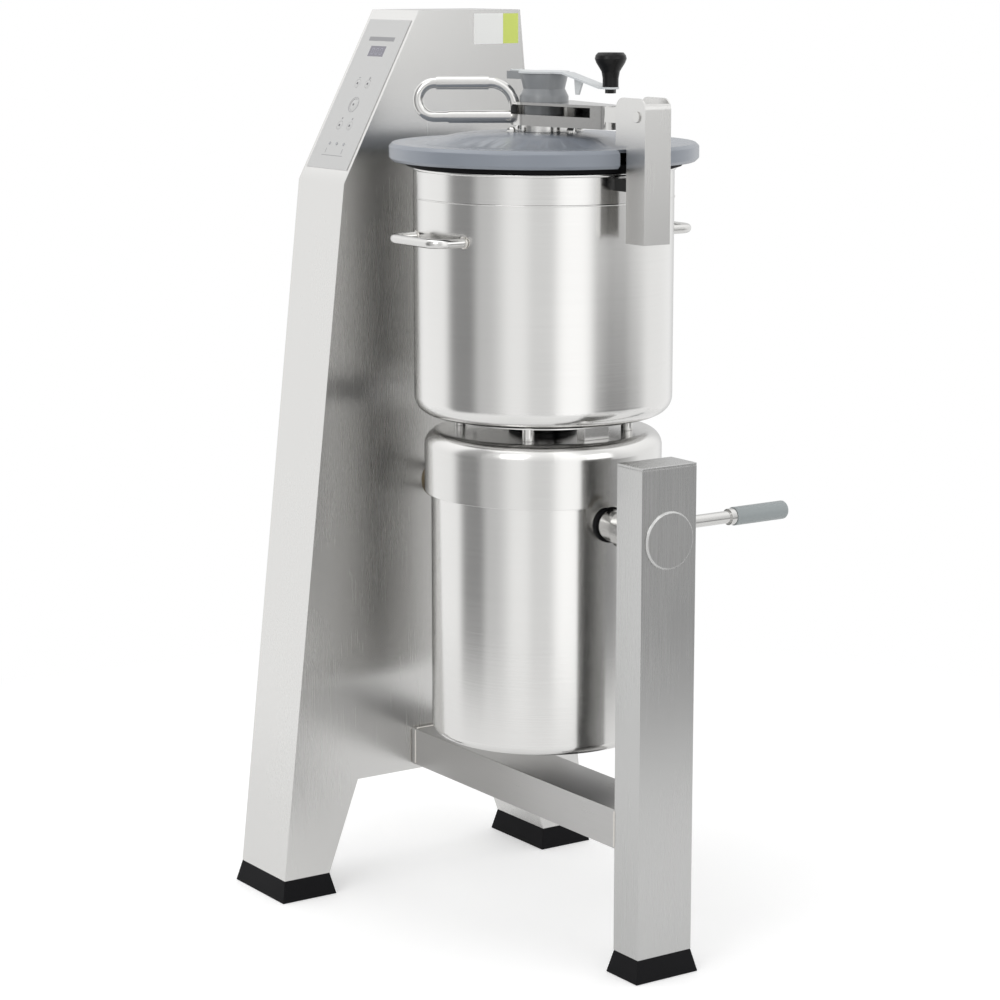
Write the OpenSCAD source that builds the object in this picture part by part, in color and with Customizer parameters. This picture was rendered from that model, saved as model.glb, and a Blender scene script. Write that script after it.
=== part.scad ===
// Vertical cutter mixer with a tilting bowl and motor unit.
// Millimetres, +Z up. The origin is on the floor under the middle of the footprint.
// Pieces are drawn about the bowl axis; at_bowl() then moves them into the part's frame.

/* [Column] */
// Width of the column, along X
column_w = 138; // [110:1:180]
// Overall height of the machine
column_top_z = 1400; // [1340:1:1500]
// Height at which the front face bends back towards the panel
bend_z = 1137; // [1050:1:1200]
// Distance of each leg's outer edge from the middle, at the floor
foot_reach = 293; // [260:1:330]
// Distance of each leg's inner edge from the middle, at the floor
leg_inner_reach = 210; // [180:1:230]
// Half-length of the arch between the legs, at its top
arch_half = 155; // [120:1:170]
// Height of the arch between the legs
arch_z = 181; // [140:1:185]
// Distance of the front bend ahead of the middle
bend_reach = 170; // [150:1:200]
// Distance of the top front edge ahead of the middle
top_front_reach = 31; // [20:1:60]
// Distance of the top rear edge behind the middle
top_back_reach = 160; // [140:1:190]
// Sheet thickness of the column
column_wall = 2.5; // [1.5:0.1:4]
// Clear distance from the bowl axis to the column
column_reach = 295; // [285:1:320]

/* [Post and beam] */
// Clear distance from the bowl axis to the post
post_reach = 255; // [252:1:280]
// Thickness of the post, along X
post_t = 60; // [50:1:80]
// Width of the post and of the beam, along Y
post_w = 98; // [92:1:120]
// Height of the post's top
post_top_z = 767; // [740:1:800]
// Wall thickness of the post and of the beam
tube_wall = 3; // [2:0.1:5]
// Height of the beam's underside
beam_z = 190; // [188:1:196]
// Height of the beam's section
beam_h = 60; // [40:1:62]

/* [Feet] */
// Height of a rubber foot
foot_h = 34; // [25:1:45]
// Flare of a rubber foot at the floor
foot_flare = 8; // [4:0.5:10]

/* [Motor unit] */
// Height of the tilting axis
pivot_z = 658; // [650:1:670]
// Outer radius of the motor housing
housing_r = 170; // [160:1:172]
// Height of the housing's underside
housing_z = 310; // [306:1:330]
// Height of the seam between the housing and its cap
seam_z = 686; // [684:1:700]
// Outer radius of the housing cap
cap_r = 180; // [178:1:190]
// Height of the housing cap
cap_h = 94; // [80:1:105]
// Sheet thickness of the housing and its cap
housing_wall = 3; // [2:0.1:4]
// Radius of the shoulder of the cap
shoulder_r = 24; // [12:1:30]
// Radius of the motor shaft
shaft_r = 16; // [14:0.5:17]
// Radius of the two tilting trunnions
trunnion_r = 22; // [18:0.5:24]

/* [Bowl] */
// Outer radius of the bowl
bowl_r = 195; // [185:1:200]
// Height of the bowl
bowl_h = 372; // [340:1:390]
// Gap between the motor unit and the bowl
bowl_gap = 25; // [18:1:30]
// Sheet thickness of the bowl
bowl_wall = 2.5; // [1.5:0.1:4]
// Radius of the bowl's lower corner
bowl_corner = 28; // [15:1:40]
// Rod diameter of the bowl handles
handle_d = 14; // [10:0.5:18]
// Distance from the bowl axis to the far edge of a bowl handle
handle_reach = 240; // [230:1:250]
// Distance between the two ends of a bowl handle
handle_span = 126; // [100:1:150]
// Depth of a bowl handle below the rim
handle_drop = 102; // [80:1:130]

/* [Blades] */
// Radius swept by the blade tips
blade_r = 180; // [150:1:184]
// Thickness of a blade
blade_t = 3; // [2:0.5:4]
// Height of the upper blade above the lower one
blade_pitch = 90; // [60:1:110]

/* [Lid] */
// Outer radius of the lid
lid_r = 231; // [222:1:238]
// Height of the lid's outer ring
ring_h = 27; // [22:1:32]
// Rise of the lid's dome above the ring
dome_rise = 15; // [8:1:22]
// Wall thickness of the lid
lid_wall = 5; // [3:0.5:7]
// Height of the bridge that carries the lid
bridge_h = 34; // [30:1:40]
// Radius of the bridge around the feed chute
bridge_r = 50; // [46:1:56]
// Outer radius of the feed chute's mouth
chute_r = 35; // [32:0.5:40]
// Height of the feed chute above the bridge
chute_h = 41; // [34:1:50]
// Diameter of the roller grip on the lid handle
grip_d = 20; // [19:0.5:24]

/* [Tilting lever] */
// Radius of the lever's rod
lever_rod_r = 9.5; // [7:0.5:12]
// Distance from the tilting axis to the end of the lever's grip
lever_reach = 289; // [250:1:295]
// Length of the lever's grip
lever_grip_l = 99; // [80:1:120]
// Radius of the lever's grip
lever_grip_r = 14; // [12:0.5:17]

/* [Panel] */
// Width of the control panel
panel_w = 122; // [100:1:126]
// Length of the control panel along the slope
panel_l = 258; // [240:1:262]
// Radius of the small keys
key_r = 7; // [5:0.5:8]
// Radius of the large key
big_key_r = 10; // [8:0.5:12]
// Travel of a key
key_travel = 1; // [0.5:0.1:1.2]

/* [Hidden] */
$fn = 96;
// Sides of the largest cylinder that shapes a small piece
fine = 720;
// Overrun of every cut beyond the faces that it opens
cut = 1;
// Gap between pieces that move past each other closely
fit_gap = 0.05;
// Gap between bodies that must not touch
air = 0.3;
// Sides of a hexagon
hex = 6;
// Distance of a teardrop's sides from its circles' centres, in radii
side_share = 0.995;

// Column, worked out from the driving sizes
leg_z = foot_h;
col_x1 = -column_reach;
col_x0 = col_x1 - column_w;
col_mid_x = (col_x0 + col_x1) / 2;
post_x0 = post_reach;
post_x1 = post_x0 + post_t;
// Shift that puts the middle of the footprint at the origin
bowl_x = -(col_x0 - foot_flare + post_x1 + foot_flare) / 2;
column_outline = [
    [-foot_reach, leg_z],
    [-leg_inner_reach, leg_z],
    [-arch_half, arch_z],
    [arch_half, arch_z],
    [leg_inner_reach, leg_z],
    [foot_reach, leg_z],
    [top_back_reach, column_top_z],
    [-top_front_reach, column_top_z],
    [-bend_reach, bend_z]
];
// Tilt of the rear face and of the panel face from the vertical
back_tilt = atan((foot_reach - top_back_reach) / (column_top_z - leg_z));
panel_tilt = atan((bend_reach - top_front_reach) / (column_top_z - bend_z));
panel_face_l = (column_top_z - bend_z) / cos(panel_tilt);
panel_lift = 2;
panel_start = (panel_face_l - panel_l) / 2 + panel_lift;
// Rear service opening and its cover
cover_t = 1.5;
cover_margin = 9;
cover_w = column_w - 2 * cover_margin;
cover_lap = 10;
cover_z0 = 240;
cover_drop = 60;
cover_z1 = column_top_z - cover_drop;
cover_screw_r = 3;
cover_screw_head_r = 5.5;
cover_screw_head_h = 3;
cover_screw_rows = 4;
cover_screw_l = 8;

// Bearings and trunnions
bush_l = 34;
bush_wall = 9;
bush_r = trunnion_r + bush_wall;
bush_flange_r = bush_r + bush_wall;
bush_flange_t = 6;
boss_step = 2;
trunnion_boss_r = trunnion_r + boss_step;
seal_wall = 3;
seal_r = trunnion_boss_r + seal_wall;
seal_t = 4;
trunnion_over = 4;
trunnion_l = column_reach + bush_l + trunnion_over - housing_r + housing_wall;
trunnion_bore_r = 12;
pivot_cap_r = 43;
pivot_cap_t = 4;
pivot_cap_bevel = 2.5;
pivot_spigot_r = 30;

// Tilting lever
lever_offset = 10;
lever_x = (housing_r + seal_t + post_reach) / 2 + lever_offset;
lever_hub_wall = 8;
lever_hub_r = trunnion_r + lever_hub_wall;
lever_hub_l = 30;
lever_collar_l = 10;
lever_collar_wall = 3;
lever_collar_r = lever_rod_r + lever_collar_wall;
grip_round = 5;

// Motor unit
housing_corner = 14;
housing_vent_r = 118;
bottom_cover_r = 128;
bottom_cover_t = 2;
vent_w = 7;
cover_vent_count = 4;
vent_l = 46;
vent_count = 16;
vent_r0 = 58;
cap_web_t = 8;
cap_z1 = seam_z + cap_h;
collar_r = 52;
collar_h = 15;
collar_wall = 8;
collar_step = 4;
collar_gap = 2;
frame_r = 128;
frame_wall = 9;
frame_z = 376;
frame_flange_r = 158;
frame_flange_t = 8;
frame_shield_t = 12;
stator_h = 170;
stator_z = 430;
stator_in_r = 72;
air_gap = 1;
slot_count = 24;
slot_r = 5;
winding_r = 112;
winding_in_r = 80;
winding_h = 28;
rotor_r = stator_in_r - air_gap;
rotor_h = 176;
bearing_r = 34;
bearing_h = 22;
bearing_race = 7;
shaft_z0 = 334;
fan_r = 104;
fan_z = 342;
fan_plate_t = 3;
fan_hub_r = 28;
fan_h = 22;
fan_blade_t = 3;
fan_blades = 9;
frame_bolt_count = 6;
frame_bolt_r = 4;
bolt_head_share = 1.7;
frame_bolt_pcd_r = 146;
frame_bolt_l = 14;
peg_r = 9;
peg_ring_r = 128;
peg_count = 4;
block_w = 44;
block_t = 20;
block_ring_r = 118;

// Bowl
bowl_z = cap_z1 + bowl_gap;
rim_z = bowl_z + bowl_h;
chimney_r = 25;
chimney_wall = 3.5;
chimney_h = 205;
chimney_foot_r = 10;
rim_bead_r = 3;
level_line_drop = 46;
level_line_r = 1.1;
handle_bend = 22;
handle_z = rim_z - handle_drop;
foot_ring_r = 150;
foot_ring_h = 5;
foot_ring_w = 6;

// Blades
hub_gap = 2;
hub_in_r = chimney_r + hub_gap;
hub_wall = 9;
hub_r = hub_in_r + hub_wall;
hub_foot_gap = 6;
hub_cap_h = 30;
hub_z0 = bowl_z + bowl_wall + hub_foot_gap;
hub_top_z = bowl_z + chimney_h + air + hub_cap_h;
blade_ring_h = 12;
lower_blade_z = hub_z0 + blade_ring_h;
blade_root_w = 46;
blade_tip_w = 22;
blade_sweep = 34;
blade_ring_w = 8;
blade_ring_r = hub_r + blade_ring_w;
nut_r = 20;
nut_h = 16;
nut_wing_l = 30;
nut_wing_t = 7;

// Lid levels
seal_h = 7;
ring_z = rim_z + seal_h;
ring_top_z = ring_z + ring_h;
ring_bevel = 5;
ring_inner_r = 192;
dome_top_r = 66;
dome_top_z = ring_top_z + dome_rise;
boss_h = 11;
bridge_z = dome_top_z + boss_h;
bridge_top_z = bridge_z + bridge_h;
bridge_bar_h = 16;
bridge_strap_t = 4;
bridge_wall_t = 8;
bridge_nose_r = 12;
bridge_end_r = 20;
bridge_end_x = 165;
window_x0 = -34;
window_x1 = 148;
arm_w = 34;
arm_h = 22;

// Hinge bracket on the bowl
bracket_w = 46;
bracket_t = 2.5;
bracket_x1 = 279.5;
bracket_x0 = 236;
bracket_ear_x0 = 210;
bracket_drop = 98;
bracket_rise = 14;
bracket_z0 = rim_z - bracket_drop;
bracket_z1 = bridge_top_z + bracket_rise;
ear_gap = 6;
ear_z0 = ring_top_z + ear_gap;
pin_x = 260;
pin_drop = 12;
pin_z = bridge_top_z - pin_drop;
pin_clip_w = 2;
pin_r = 6;
pin_head_r = 10;
pin_head_t = 5;
bracket_fillet = 16;
notch_gap = 5;
mount_w = 24;
mount_h = 18;
mount_drop = 8;
mount_bolt_r = 4;

// Feed chute
chute_bore_r = 27;
chute_neck_r = 31;
chute_base_r = 36.5;
chute_base_h = 7;
chute_neck_share = 0.45;
chute_rim_share = 0.88;
chute_drop = 16;
chute_pipe_r = 29.5;
chute_z1 = bridge_top_z + chute_h;
// Chute cover
flap_t = 3;
flap_r = 38;
flap_lug_x = -72;
flap_lug_w = 26;
flap_pin_r = 2.5;
flap_knuckle_r = 5;
flap_arm_w = 22;
flap_pad_r = 12.5;
flap_arm_drop = 18;
flap_arm_x = 166;
flap_tab_x = 78;
flap_tab_l = 22;
flap_tab_h = 26;
flap_tab_t = 3;
knob_r = 23;
knob_neck_r = 11.5;
knob_h = 49;
knob_nut_r = 8;
knob_nut_h = 6;
knob_stud_r = 4;

// Lid handle, a bent tube with a roller grip
loop_turn = -124;
loop_tube_r = 8;
sleeve_r = 9.5;
sleeve_l = 84;
loop_foot_l = 20;
loop_bend_r = 25;
loop_end_r = 36;
loop_lift = 11;
loop_z = bridge_z + loop_lift;
loop_top_l = 82;
grip_l = 78;
grip_in_r = loop_tube_r + fit_gap;

// Panel details
panel_skin = 1;
panel_rim = 6;
panel_fit = 0.2;
panel_inset = panel_rim + panel_fit;
display_w = 45;
display_l = 18;
display_depth = 1.5;
display_s_share = 0.752;
key_h = 2.4;
key_proud = 0.8;
key_rest = 2.4;
panel_body = key_h - key_proud - panel_skin + key_travel + key_rest;
key_gap = 0.3;
pair_half = 15;
time_key_share = 0.568;
big_key_share = 0.427;
run_key_share = 0.287;
lamp_r = 2.4;
lamp_share = 0.165;
lamp_count = 3;
lamp_step = 21;

// Inner works of the column
box_w = 100;
box_d = 130;
box_h = 190;
box_z = 1120;
box_y = 30;
box_tab_h = 11;
box_tab_t = 2.5;
drive_w = 110;
drive_d = 190;
drive_h = 260;
drive_z = 760;
drive_y = 20;
fin_count = 8;
fin_t = 3;
fin_h = 12;
gland_r = 14;
gland_l = 22;
gland_nut_r = 18;
gland_nut_t = 8;
gland_bore_r = 6;
gland_z = 187;
stud_r = 6;
stud_l = 40;
stud_pad_r = 22;
stud_pad_t = 6;
beam_plate_t = 6;
beam_bolt_r = 6;
beam_bolt_l = 26;
beam_bolt_head_r = 10;
beam_bolt_head_t = 7;
post_cap_t = 4;

// Places and lengths worked out from the pieces above
leg_centres = [-(foot_reach + leg_inner_reach) / 2, (foot_reach + leg_inner_reach) / 2];
beam_bolt_y = post_w / 2 - 2 * beam_bolt_head_r;
beam_bolt_z = beam_h / 2 - 1.5 * beam_bolt_head_r;
gland_s = back_s(gland_z);
cover_screw_places = [
    for (side = [-1, 1], i = [0 : cover_screw_rows - 1])
        [side * (cover_w / 2 - cover_lap / 2),
            back_s(cover_z0) + cover_lap + i * (back_s(cover_z1) - back_s(cover_z0) - 2 * cover_lap)
            / (cover_screw_rows - 1)]
];
small_keys = [
    [-pair_half, panel_s(time_key_share)], [pair_half, panel_s(time_key_share)],
    [-pair_half, panel_s(run_key_share)], [pair_half, panel_s(run_key_share)]
];
big_key = [0, panel_s(big_key_share)];
fin_span = pivot_z - bush_flange_r - frame_z - fin_h;
ball_track = bearing_r - 2 * bearing_race - shaft_r + cut;
shaft_tip = 3;
shaft_drop = 6;
shaft_top_z = hub_top_z - shaft_drop;
handle_start = sqrt(bowl_r * bowl_r - handle_span * handle_span / 4) - handle_d / 2;
handle_run = handle_reach - handle_start - handle_d / 2 - handle_bend;
mount_bolt_l = 30;
dome_share = 0.78;
seal_ring_r = 206;
seal_ring_w = 18;
chute_lip = 3;
flap_pin_z = 1.5;
flap_bend_x = flap_r + flap_tab_l;
flap_foot_x = flap_arm_x - 1.2 * flap_pad_r;
loop_bury = 12;
loop_run = loop_foot_l + sleeve_l + loop_foot_l;
loop_steps = [[loop_run, -180, loop_bend_r], [loop_top_l, -90, loop_end_r]];

// Shared shapes

module at_bowl() {
    translate([bowl_x, 0, 0]) children();
}

module at_pivot() {
    translate([bowl_x, 0, pivot_z]) children();
}

// Outline moved inwards by t, edge by edge
function unit(v) = v / norm(v);
function inward(a, b) = let (d = unit(b - a)) [-d[1], d[0]];
function meet(p, d, q, e) = p + d * (((q - p)[0] * e[1] - (q - p)[1] * e[0])
    / (d[0] * e[1] - d[1] * e[0]));
function inset(pts, t) = let (n = len(pts)) [
    for (i = [0 : n - 1])
        let (a = pts[(i + n - 1) % n], b = pts[i], c = pts[(i + 1) % n])
        meet(a + inward(a, b) * t, b - a, b + inward(b, c) * t, c - b)
];

// Profile in Y and Z, drawn from x0 to x1
module along_x(x0, x1) {
    translate([x0, 0, 0]) rotate([90, 0, 90]) linear_extrude(height = x1 - x0) children();
}

// Profile in X and Z, drawn over a width centred on Y = 0
module across_y(w) {
    translate([0, w / 2, 0]) rotate([90, 0, 0]) linear_extrude(height = w) children();
}

module tube(r, wall, h) {
    difference() {
        cylinder(r = r, h = h);
        translate([0, 0, -cut]) cylinder(r = r - wall, h = h + 2 * cut);
    }
}

// Half section of a can whose lower outer corner has radius c
module can_section(r, h, c) {
    square([r - c, h]);
    translate([0, c]) square([r, h - c]);
    translate([r - c, c]) circle(r = c);
}

// Two circles joined by straight sides that lie just inside their common tangents
module teardrop(r1, r2, l) {
    s = side_share * (r1 - r2) / l;
    c = side_share * sqrt(1 - pow((r1 - r2) / l, 2));
    circle(r = r1);
    translate([l, 0]) circle(r = r2);
    polygon([[r1 * s, r1 * c], [l + r2 * s, r2 * c], [l + r2 * s, -r2 * c], [r1 * s, -r1 * c]]);
}

// Block whose four sides lean in from the floor to the top
module flared_foot(w, d, h, flare) {
    intersection() {
        rotate([90, 0, 0]) translate([0, 0, -d / 2 - flare]) linear_extrude(height = d + 2 * flare)
            polygon([[-w / 2 - flare, 0], [w / 2 + flare, 0], [w / 2, h], [-w / 2, h]]);
        rotate([90, 0, 90]) translate([0, 0, -w / 2 - flare]) linear_extrude(height = w + 2 * flare)
            polygon([[-d / 2 - flare, 0], [d / 2 + flare, 0], [d / 2, h], [-d / 2, h]]);
    }
}

// Rod along +Z that bends in the XZ plane: each step is [length, bend angle, bend radius]
module bent_rod(steps, r, i = 0) {
    if (i < len(steps)) {
        side = steps[i][1] < 0 ? -1 : 1;
        bend_r = steps[i][2];
        cylinder(r = r, h = steps[i][0]);
        translate([0, 0, steps[i][0]]) {
            if (steps[i][1] != 0)
                translate([side * bend_r, 0, 0]) rotate([90, 0, 0])
                    rotate_extrude(angle = -steps[i][1], start = side > 0 ? 180 : 0)
                        translate([bend_r, 0]) circle(r = r);
            translate([side * bend_r, 0, 0]) rotate([0, steps[i][1], 0])
                translate([-side * bend_r, 0, 0]) bent_rod(steps, r, i + 1);
        }
    }
}

module bolt(r, l, head_r, head_t) {
    translate([0, 0, -l]) cylinder(r = r, h = l + head_t / 2);
    cylinder(r = head_r, h = head_t, $fn = hex);
}

// Column

// Places children on the rear face: X across, Y outwards, Z up the slope
module on_back() {
    translate([col_mid_x, foot_reach, leg_z]) rotate([back_tilt, 0, 0]) children();
}

// Places children on the panel face: X across, Y up the slope, Z outwards
module on_panel() {
    translate([col_mid_x, -bend_reach, bend_z]) rotate([90 - panel_tilt, 0, 0]) children();
}

// Distance along the rear face at a height
function back_s(z) = (z - leg_z) / cos(back_tilt);

module column_shell() {
    at_bowl() color("gainsboro") difference() {
        along_x(col_x0, col_x1) polygon(column_outline);
        along_x(col_x0 + column_wall, col_x1 - column_wall) polygon(inset(column_outline, column_wall));
        on_back() translate([-cover_w / 2 + cover_lap, -column_wall - cut, back_s(cover_z0) + cover_lap])
            cube([cover_w - 2 * cover_lap, column_wall + 2 * cut,
                back_s(cover_z1) - back_s(cover_z0) - 2 * cover_lap]);
        on_panel() translate([-panel_w / 2 + panel_rim, panel_start + panel_rim, -column_wall - cut])
            cube([panel_w - 2 * panel_rim, panel_l - 2 * panel_rim, column_wall + 2 * cut]);
        translate([col_x1 - column_wall - cut, 0, pivot_z]) rotate([0, 90, 0])
            cylinder(r = bush_r, h = column_wall + 2 * cut);
        for (y = [-1, 1] * beam_bolt_y, z = [-1, 1] * beam_bolt_z)
            translate([col_x1 - column_wall - cut, y, beam_z + beam_h / 2 + z]) rotate([0, 90, 0])
                cylinder(r = beam_bolt_r, h = column_wall + 2 * cut);
        for (p = leg_centres)
            translate([col_mid_x, p, leg_z - cut]) cylinder(r = stud_r, h = column_wall + 2 * cut);
        on_back() for (p = cover_screw_places)
            translate([p[0], cut, p[1]]) rotate([90, 0, 0])
                cylinder(r = cover_screw_r, h = column_wall + 2 * cut);
        on_back() translate([0, cut, gland_s]) rotate([90, 0, 0])
            cylinder(r = gland_r, h = column_wall + 2 * cut);
    }
}

module rear_cover() {
    at_bowl() on_back() color("silver") difference() {
        translate([-cover_w / 2, 0, back_s(cover_z0)])
            cube([cover_w, cover_t, back_s(cover_z1) - back_s(cover_z0)]);
        for (p = cover_screw_places)
            translate([p[0], cover_t + cut, p[1]]) rotate([90, 0, 0])
                cylinder(r = cover_screw_r, h = cover_t + 2 * cut);
        for (i = [0 : cover_vent_count - 1])
            translate([-cover_w / 4, -cut,
                back_s(drive_z + drive_h / 2) + (i - (cover_vent_count - 1) / 2) * 3 * vent_w])
                cube([cover_w / 2, cover_t + 2 * cut, vent_w]);
    }
}

module rear_cover_screws() {
    at_bowl() on_back() color("silver") for (p = cover_screw_places)
        translate([p[0], cover_t, p[1]]) rotate([-90, 0, 0]) {
            translate([0, 0, -cover_screw_l]) cylinder(r = cover_screw_r, h = cover_screw_l);
            intersection() {
                cylinder(r = cover_screw_head_r, h = cover_screw_head_h);
                translate([0, 0, cover_screw_head_h - cover_screw_head_r])
                    sphere(r = cover_screw_head_r * 1.15);
            }
        }
}

// Panel. Places on it are measured along the slope from its lower edge
function panel_s(share) = panel_start + share * panel_l;

module control_panel() {
    at_bowl() on_panel() color("lightgray") difference() {
        union() {
            translate([-panel_w / 2, panel_start, 0]) cube([panel_w, panel_l, panel_skin]);
            translate([-panel_w / 2 + panel_inset, panel_start + panel_inset, -panel_body])
                cube([panel_w - 2 * panel_inset, panel_l - 2 * panel_inset, panel_body]);
        }
        for (k = small_keys)
            translate([k[0], k[1], -panel_body - cut])
                cylinder(r = key_r + key_gap, h = panel_body + panel_skin + 2 * cut);
        translate([big_key[0], big_key[1], -panel_body - cut])
            cylinder(r = big_key_r + key_gap, h = panel_body + panel_skin + 2 * cut);
        translate([-display_w / 2, panel_s(display_s_share), panel_skin - display_depth])
            cube([display_w, display_l, display_depth + cut]);
        for (i = [0 : lamp_count - 1])
            translate([(i - (lamp_count - 1) / 2) * lamp_step, panel_s(lamp_share), panel_skin - lamp_r])
                cylinder(r = lamp_r, h = lamp_r + cut);
    }
}

module timer_display() {
    at_bowl() on_panel() color("dimgray")
        translate([-display_w / 2, panel_s(display_s_share), panel_skin - display_depth])
            cube([display_w, display_l, display_depth]);
}

module panel_lamps() {
    at_bowl() on_panel() color("darkgray") for (i = [0 : lamp_count - 1])
        translate([(i - (lamp_count - 1) / 2) * lamp_step, panel_s(lamp_share), panel_skin - lamp_r]) {
            cylinder(r = lamp_r, h = lamp_r);
            translate([0, 0, lamp_r]) intersection() {
                sphere(r = lamp_r);
                translate([-lamp_r, -lamp_r, 0]) cube([2 * lamp_r, 2 * lamp_r, lamp_r / 2]);
            }
        }
}

// Key with a domed face, at a place on the panel
module key(place, r) {
    at_bowl() on_panel() translate([place[0], place[1], panel_skin + key_proud - key_h])
        intersection() {
            cylinder(r = r, h = key_h);
            translate([0, 0, key_h - 4 * r]) sphere(r = 4 * r);
        }
}

module minus_key() {
    color("lightgray") key(small_keys[0], key_r);
}

module plus_key() {
    color("lightgray") key(small_keys[1], key_r);
}

module pulse_key() {
    color("lightgray") key(big_key, big_key_r);
}

module start_key() {
    color("lightgray") key(small_keys[2], key_r);
}

module stop_key() {
    color("lightgray") key(small_keys[3], key_r);
}

// Base

module cross_beam() {
    at_bowl() color("silver") difference() {
        translate([col_x1 + beam_plate_t, -post_w / 2, beam_z])
            cube([post_x0 - col_x1 - beam_plate_t, post_w, beam_h]);
        translate([col_x1 + beam_plate_t - cut, -post_w / 2 + tube_wall, beam_z + tube_wall])
            cube([post_x0 - col_x1 - beam_plate_t + 2 * cut, post_w - 2 * tube_wall,
                beam_h - 2 * tube_wall]);
    }
}

// End plate inside the beam's outline, bolted through the column's inner face
module beam_plate() {
    at_bowl() color("silver") difference() {
        translate([col_x1, -post_w / 2, beam_z]) cube([beam_plate_t, post_w, beam_h]);
        for (y = [-1, 1] * beam_bolt_y, z = [-1, 1] * beam_bolt_z)
            translate([col_x1 - cut, y, beam_z + beam_h / 2 + z]) rotate([0, 90, 0])
                cylinder(r = beam_bolt_r, h = beam_plate_t + 2 * cut);
    }
}

module beam_bolts() {
    at_bowl() color("gray") for (y = [-1, 1] * beam_bolt_y, z = [-1, 1] * beam_bolt_z)
        translate([col_x1 - column_wall, y, beam_z + beam_h / 2 + z]) rotate([0, -90, 0])
            bolt(beam_bolt_r, beam_bolt_l, beam_bolt_head_r, beam_bolt_head_t);
}

module support_post() {
    at_bowl() color("silver") difference() {
        translate([post_x0, -post_w / 2, leg_z]) cube([post_t, post_w, post_top_z - post_cap_t - leg_z]);
        translate([post_x0 + tube_wall, -post_w / 2 + tube_wall, leg_z + tube_wall])
            cube([post_t - 2 * tube_wall, post_w - 2 * tube_wall, post_top_z - leg_z]);
        translate([post_x0 - cut, 0, pivot_z]) rotate([0, 90, 0])
            cylinder(r = bush_r, h = tube_wall + 2 * cut);
        translate([post_x1 - tube_wall - cut, 0, pivot_z]) rotate([0, 90, 0])
            cylinder(r = pivot_spigot_r, h = tube_wall + 2 * cut);
        translate([(post_x0 + post_x1) / 2, 0, leg_z - cut]) cylinder(r = stud_r, h = tube_wall + 2 * cut);
    }
}

module post_cap() {
    at_bowl() color("whitesmoke") translate([(post_x0 + post_x1) / 2, 0, post_top_z - post_cap_t]) {
        translate([-post_t / 2, -post_w / 2, 0]) cube([post_t, post_w, post_cap_t]);
        translate([-post_t / 2 + tube_wall + air, -post_w / 2 + tube_wall + air, -post_cap_t])
            cube([post_t - 2 * (tube_wall + air), post_w - 2 * (tube_wall + air), post_cap_t]);
    }
}

// Bevelled cover over the end of the trunnion, with a spigot in the post's wall
module pivot_cap() {
    at_pivot() color("whitesmoke") translate([post_x1, 0, 0]) rotate([0, 90, 0]) {
        cylinder(r = pivot_cap_r, h = pivot_cap_t - pivot_cap_bevel);
        translate([0, 0, pivot_cap_t - pivot_cap_bevel])
            cylinder(r1 = pivot_cap_r, r2 = pivot_cap_r - pivot_cap_bevel, h = pivot_cap_bevel);
        translate([0, 0, -tube_wall]) cylinder(r = pivot_spigot_r, h = tube_wall);
    }
}

module foot_at(x, y, w, d) {
    color("black") at_bowl() translate([x, y, 0]) difference() {
        flared_foot(w, d, foot_h, foot_flare);
        translate([0, 0, foot_h - stud_pad_t]) cylinder(r = stud_pad_r, h = stud_pad_t + cut);
    }
}

module column_feet() {
    for (y = leg_centres)
        foot_at(col_mid_x, y, column_w, foot_reach - leg_inner_reach);
}

module post_foot() {
    foot_at((post_x0 + post_x1) / 2, 0, post_t, post_w);
}

module foot_studs() {
    at_bowl() color("gray")
        for (p = [[col_mid_x, leg_centres[0]], [col_mid_x, leg_centres[1]], [(post_x0 + post_x1) / 2, 0]])
            translate([p[0], p[1], leg_z - stud_pad_t]) {
                cylinder(r = stud_pad_r, h = stud_pad_t);
                cylinder(r = stud_r, h = stud_l);
            }
}

// Bearings of the tilting axis

// Bush pushed through a wall from inside, up to its flange
module flanged_bush(wall) {
    color("goldenrod") difference() {
        union() {
            cylinder(r = bush_r, h = bush_l);
            translate([0, 0, wall]) cylinder(r = bush_flange_r, h = bush_flange_t);
        }
        translate([0, 0, -cut]) cylinder(r = trunnion_r + fit_gap, h = bush_l + 2 * cut);
    }
}

module column_bush() {
    at_pivot() translate([col_x1, 0, 0]) rotate([0, -90, 0]) flanged_bush(column_wall);
}

module post_bush() {
    at_pivot() translate([post_x0, 0, 0]) rotate([0, 90, 0]) flanged_bush(tube_wall);
}

// Inner works of the column

module control_box() {
    at_bowl() color("dimgray") translate([col_x0 + column_wall, box_y - box_d / 2, box_z]) {
        cube([box_w, box_d, box_h]);
        for (z = [-box_tab_h, box_h])
            translate([0, box_d / 4, z]) cube([box_tab_t, box_d / 2, box_tab_h]);
    }
}

module drive_unit() {
    at_bowl() color("slategray") translate([col_x0 + column_wall, drive_y - drive_d / 2, drive_z]) {
        cube([drive_w - fin_h, drive_d, drive_h]);
        for (i = [0 : fin_count - 1])
            translate([drive_w - fin_h, (i + 1 / 2) * drive_d / fin_count - fin_t / 2, 0])
                cube([fin_h, fin_t, drive_h]);
    }
}

module cable_gland() {
    at_bowl() on_back() translate([0, 0, gland_s]) rotate([-90, 0, 0]) color("black") difference() {
        union() {
            translate([0, 0, -gland_l / 2]) cylinder(r = gland_r, h = gland_l);
            cylinder(r = gland_nut_r, h = gland_nut_t, $fn = hex);
            translate([0, 0, -column_wall - gland_nut_t])
                cylinder(r = gland_nut_r, h = gland_nut_t, $fn = hex);
        }
        translate([0, 0, -gland_l]) cylinder(r = gland_bore_r, h = 2 * gland_l);
    }
}

// Motor unit

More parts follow.
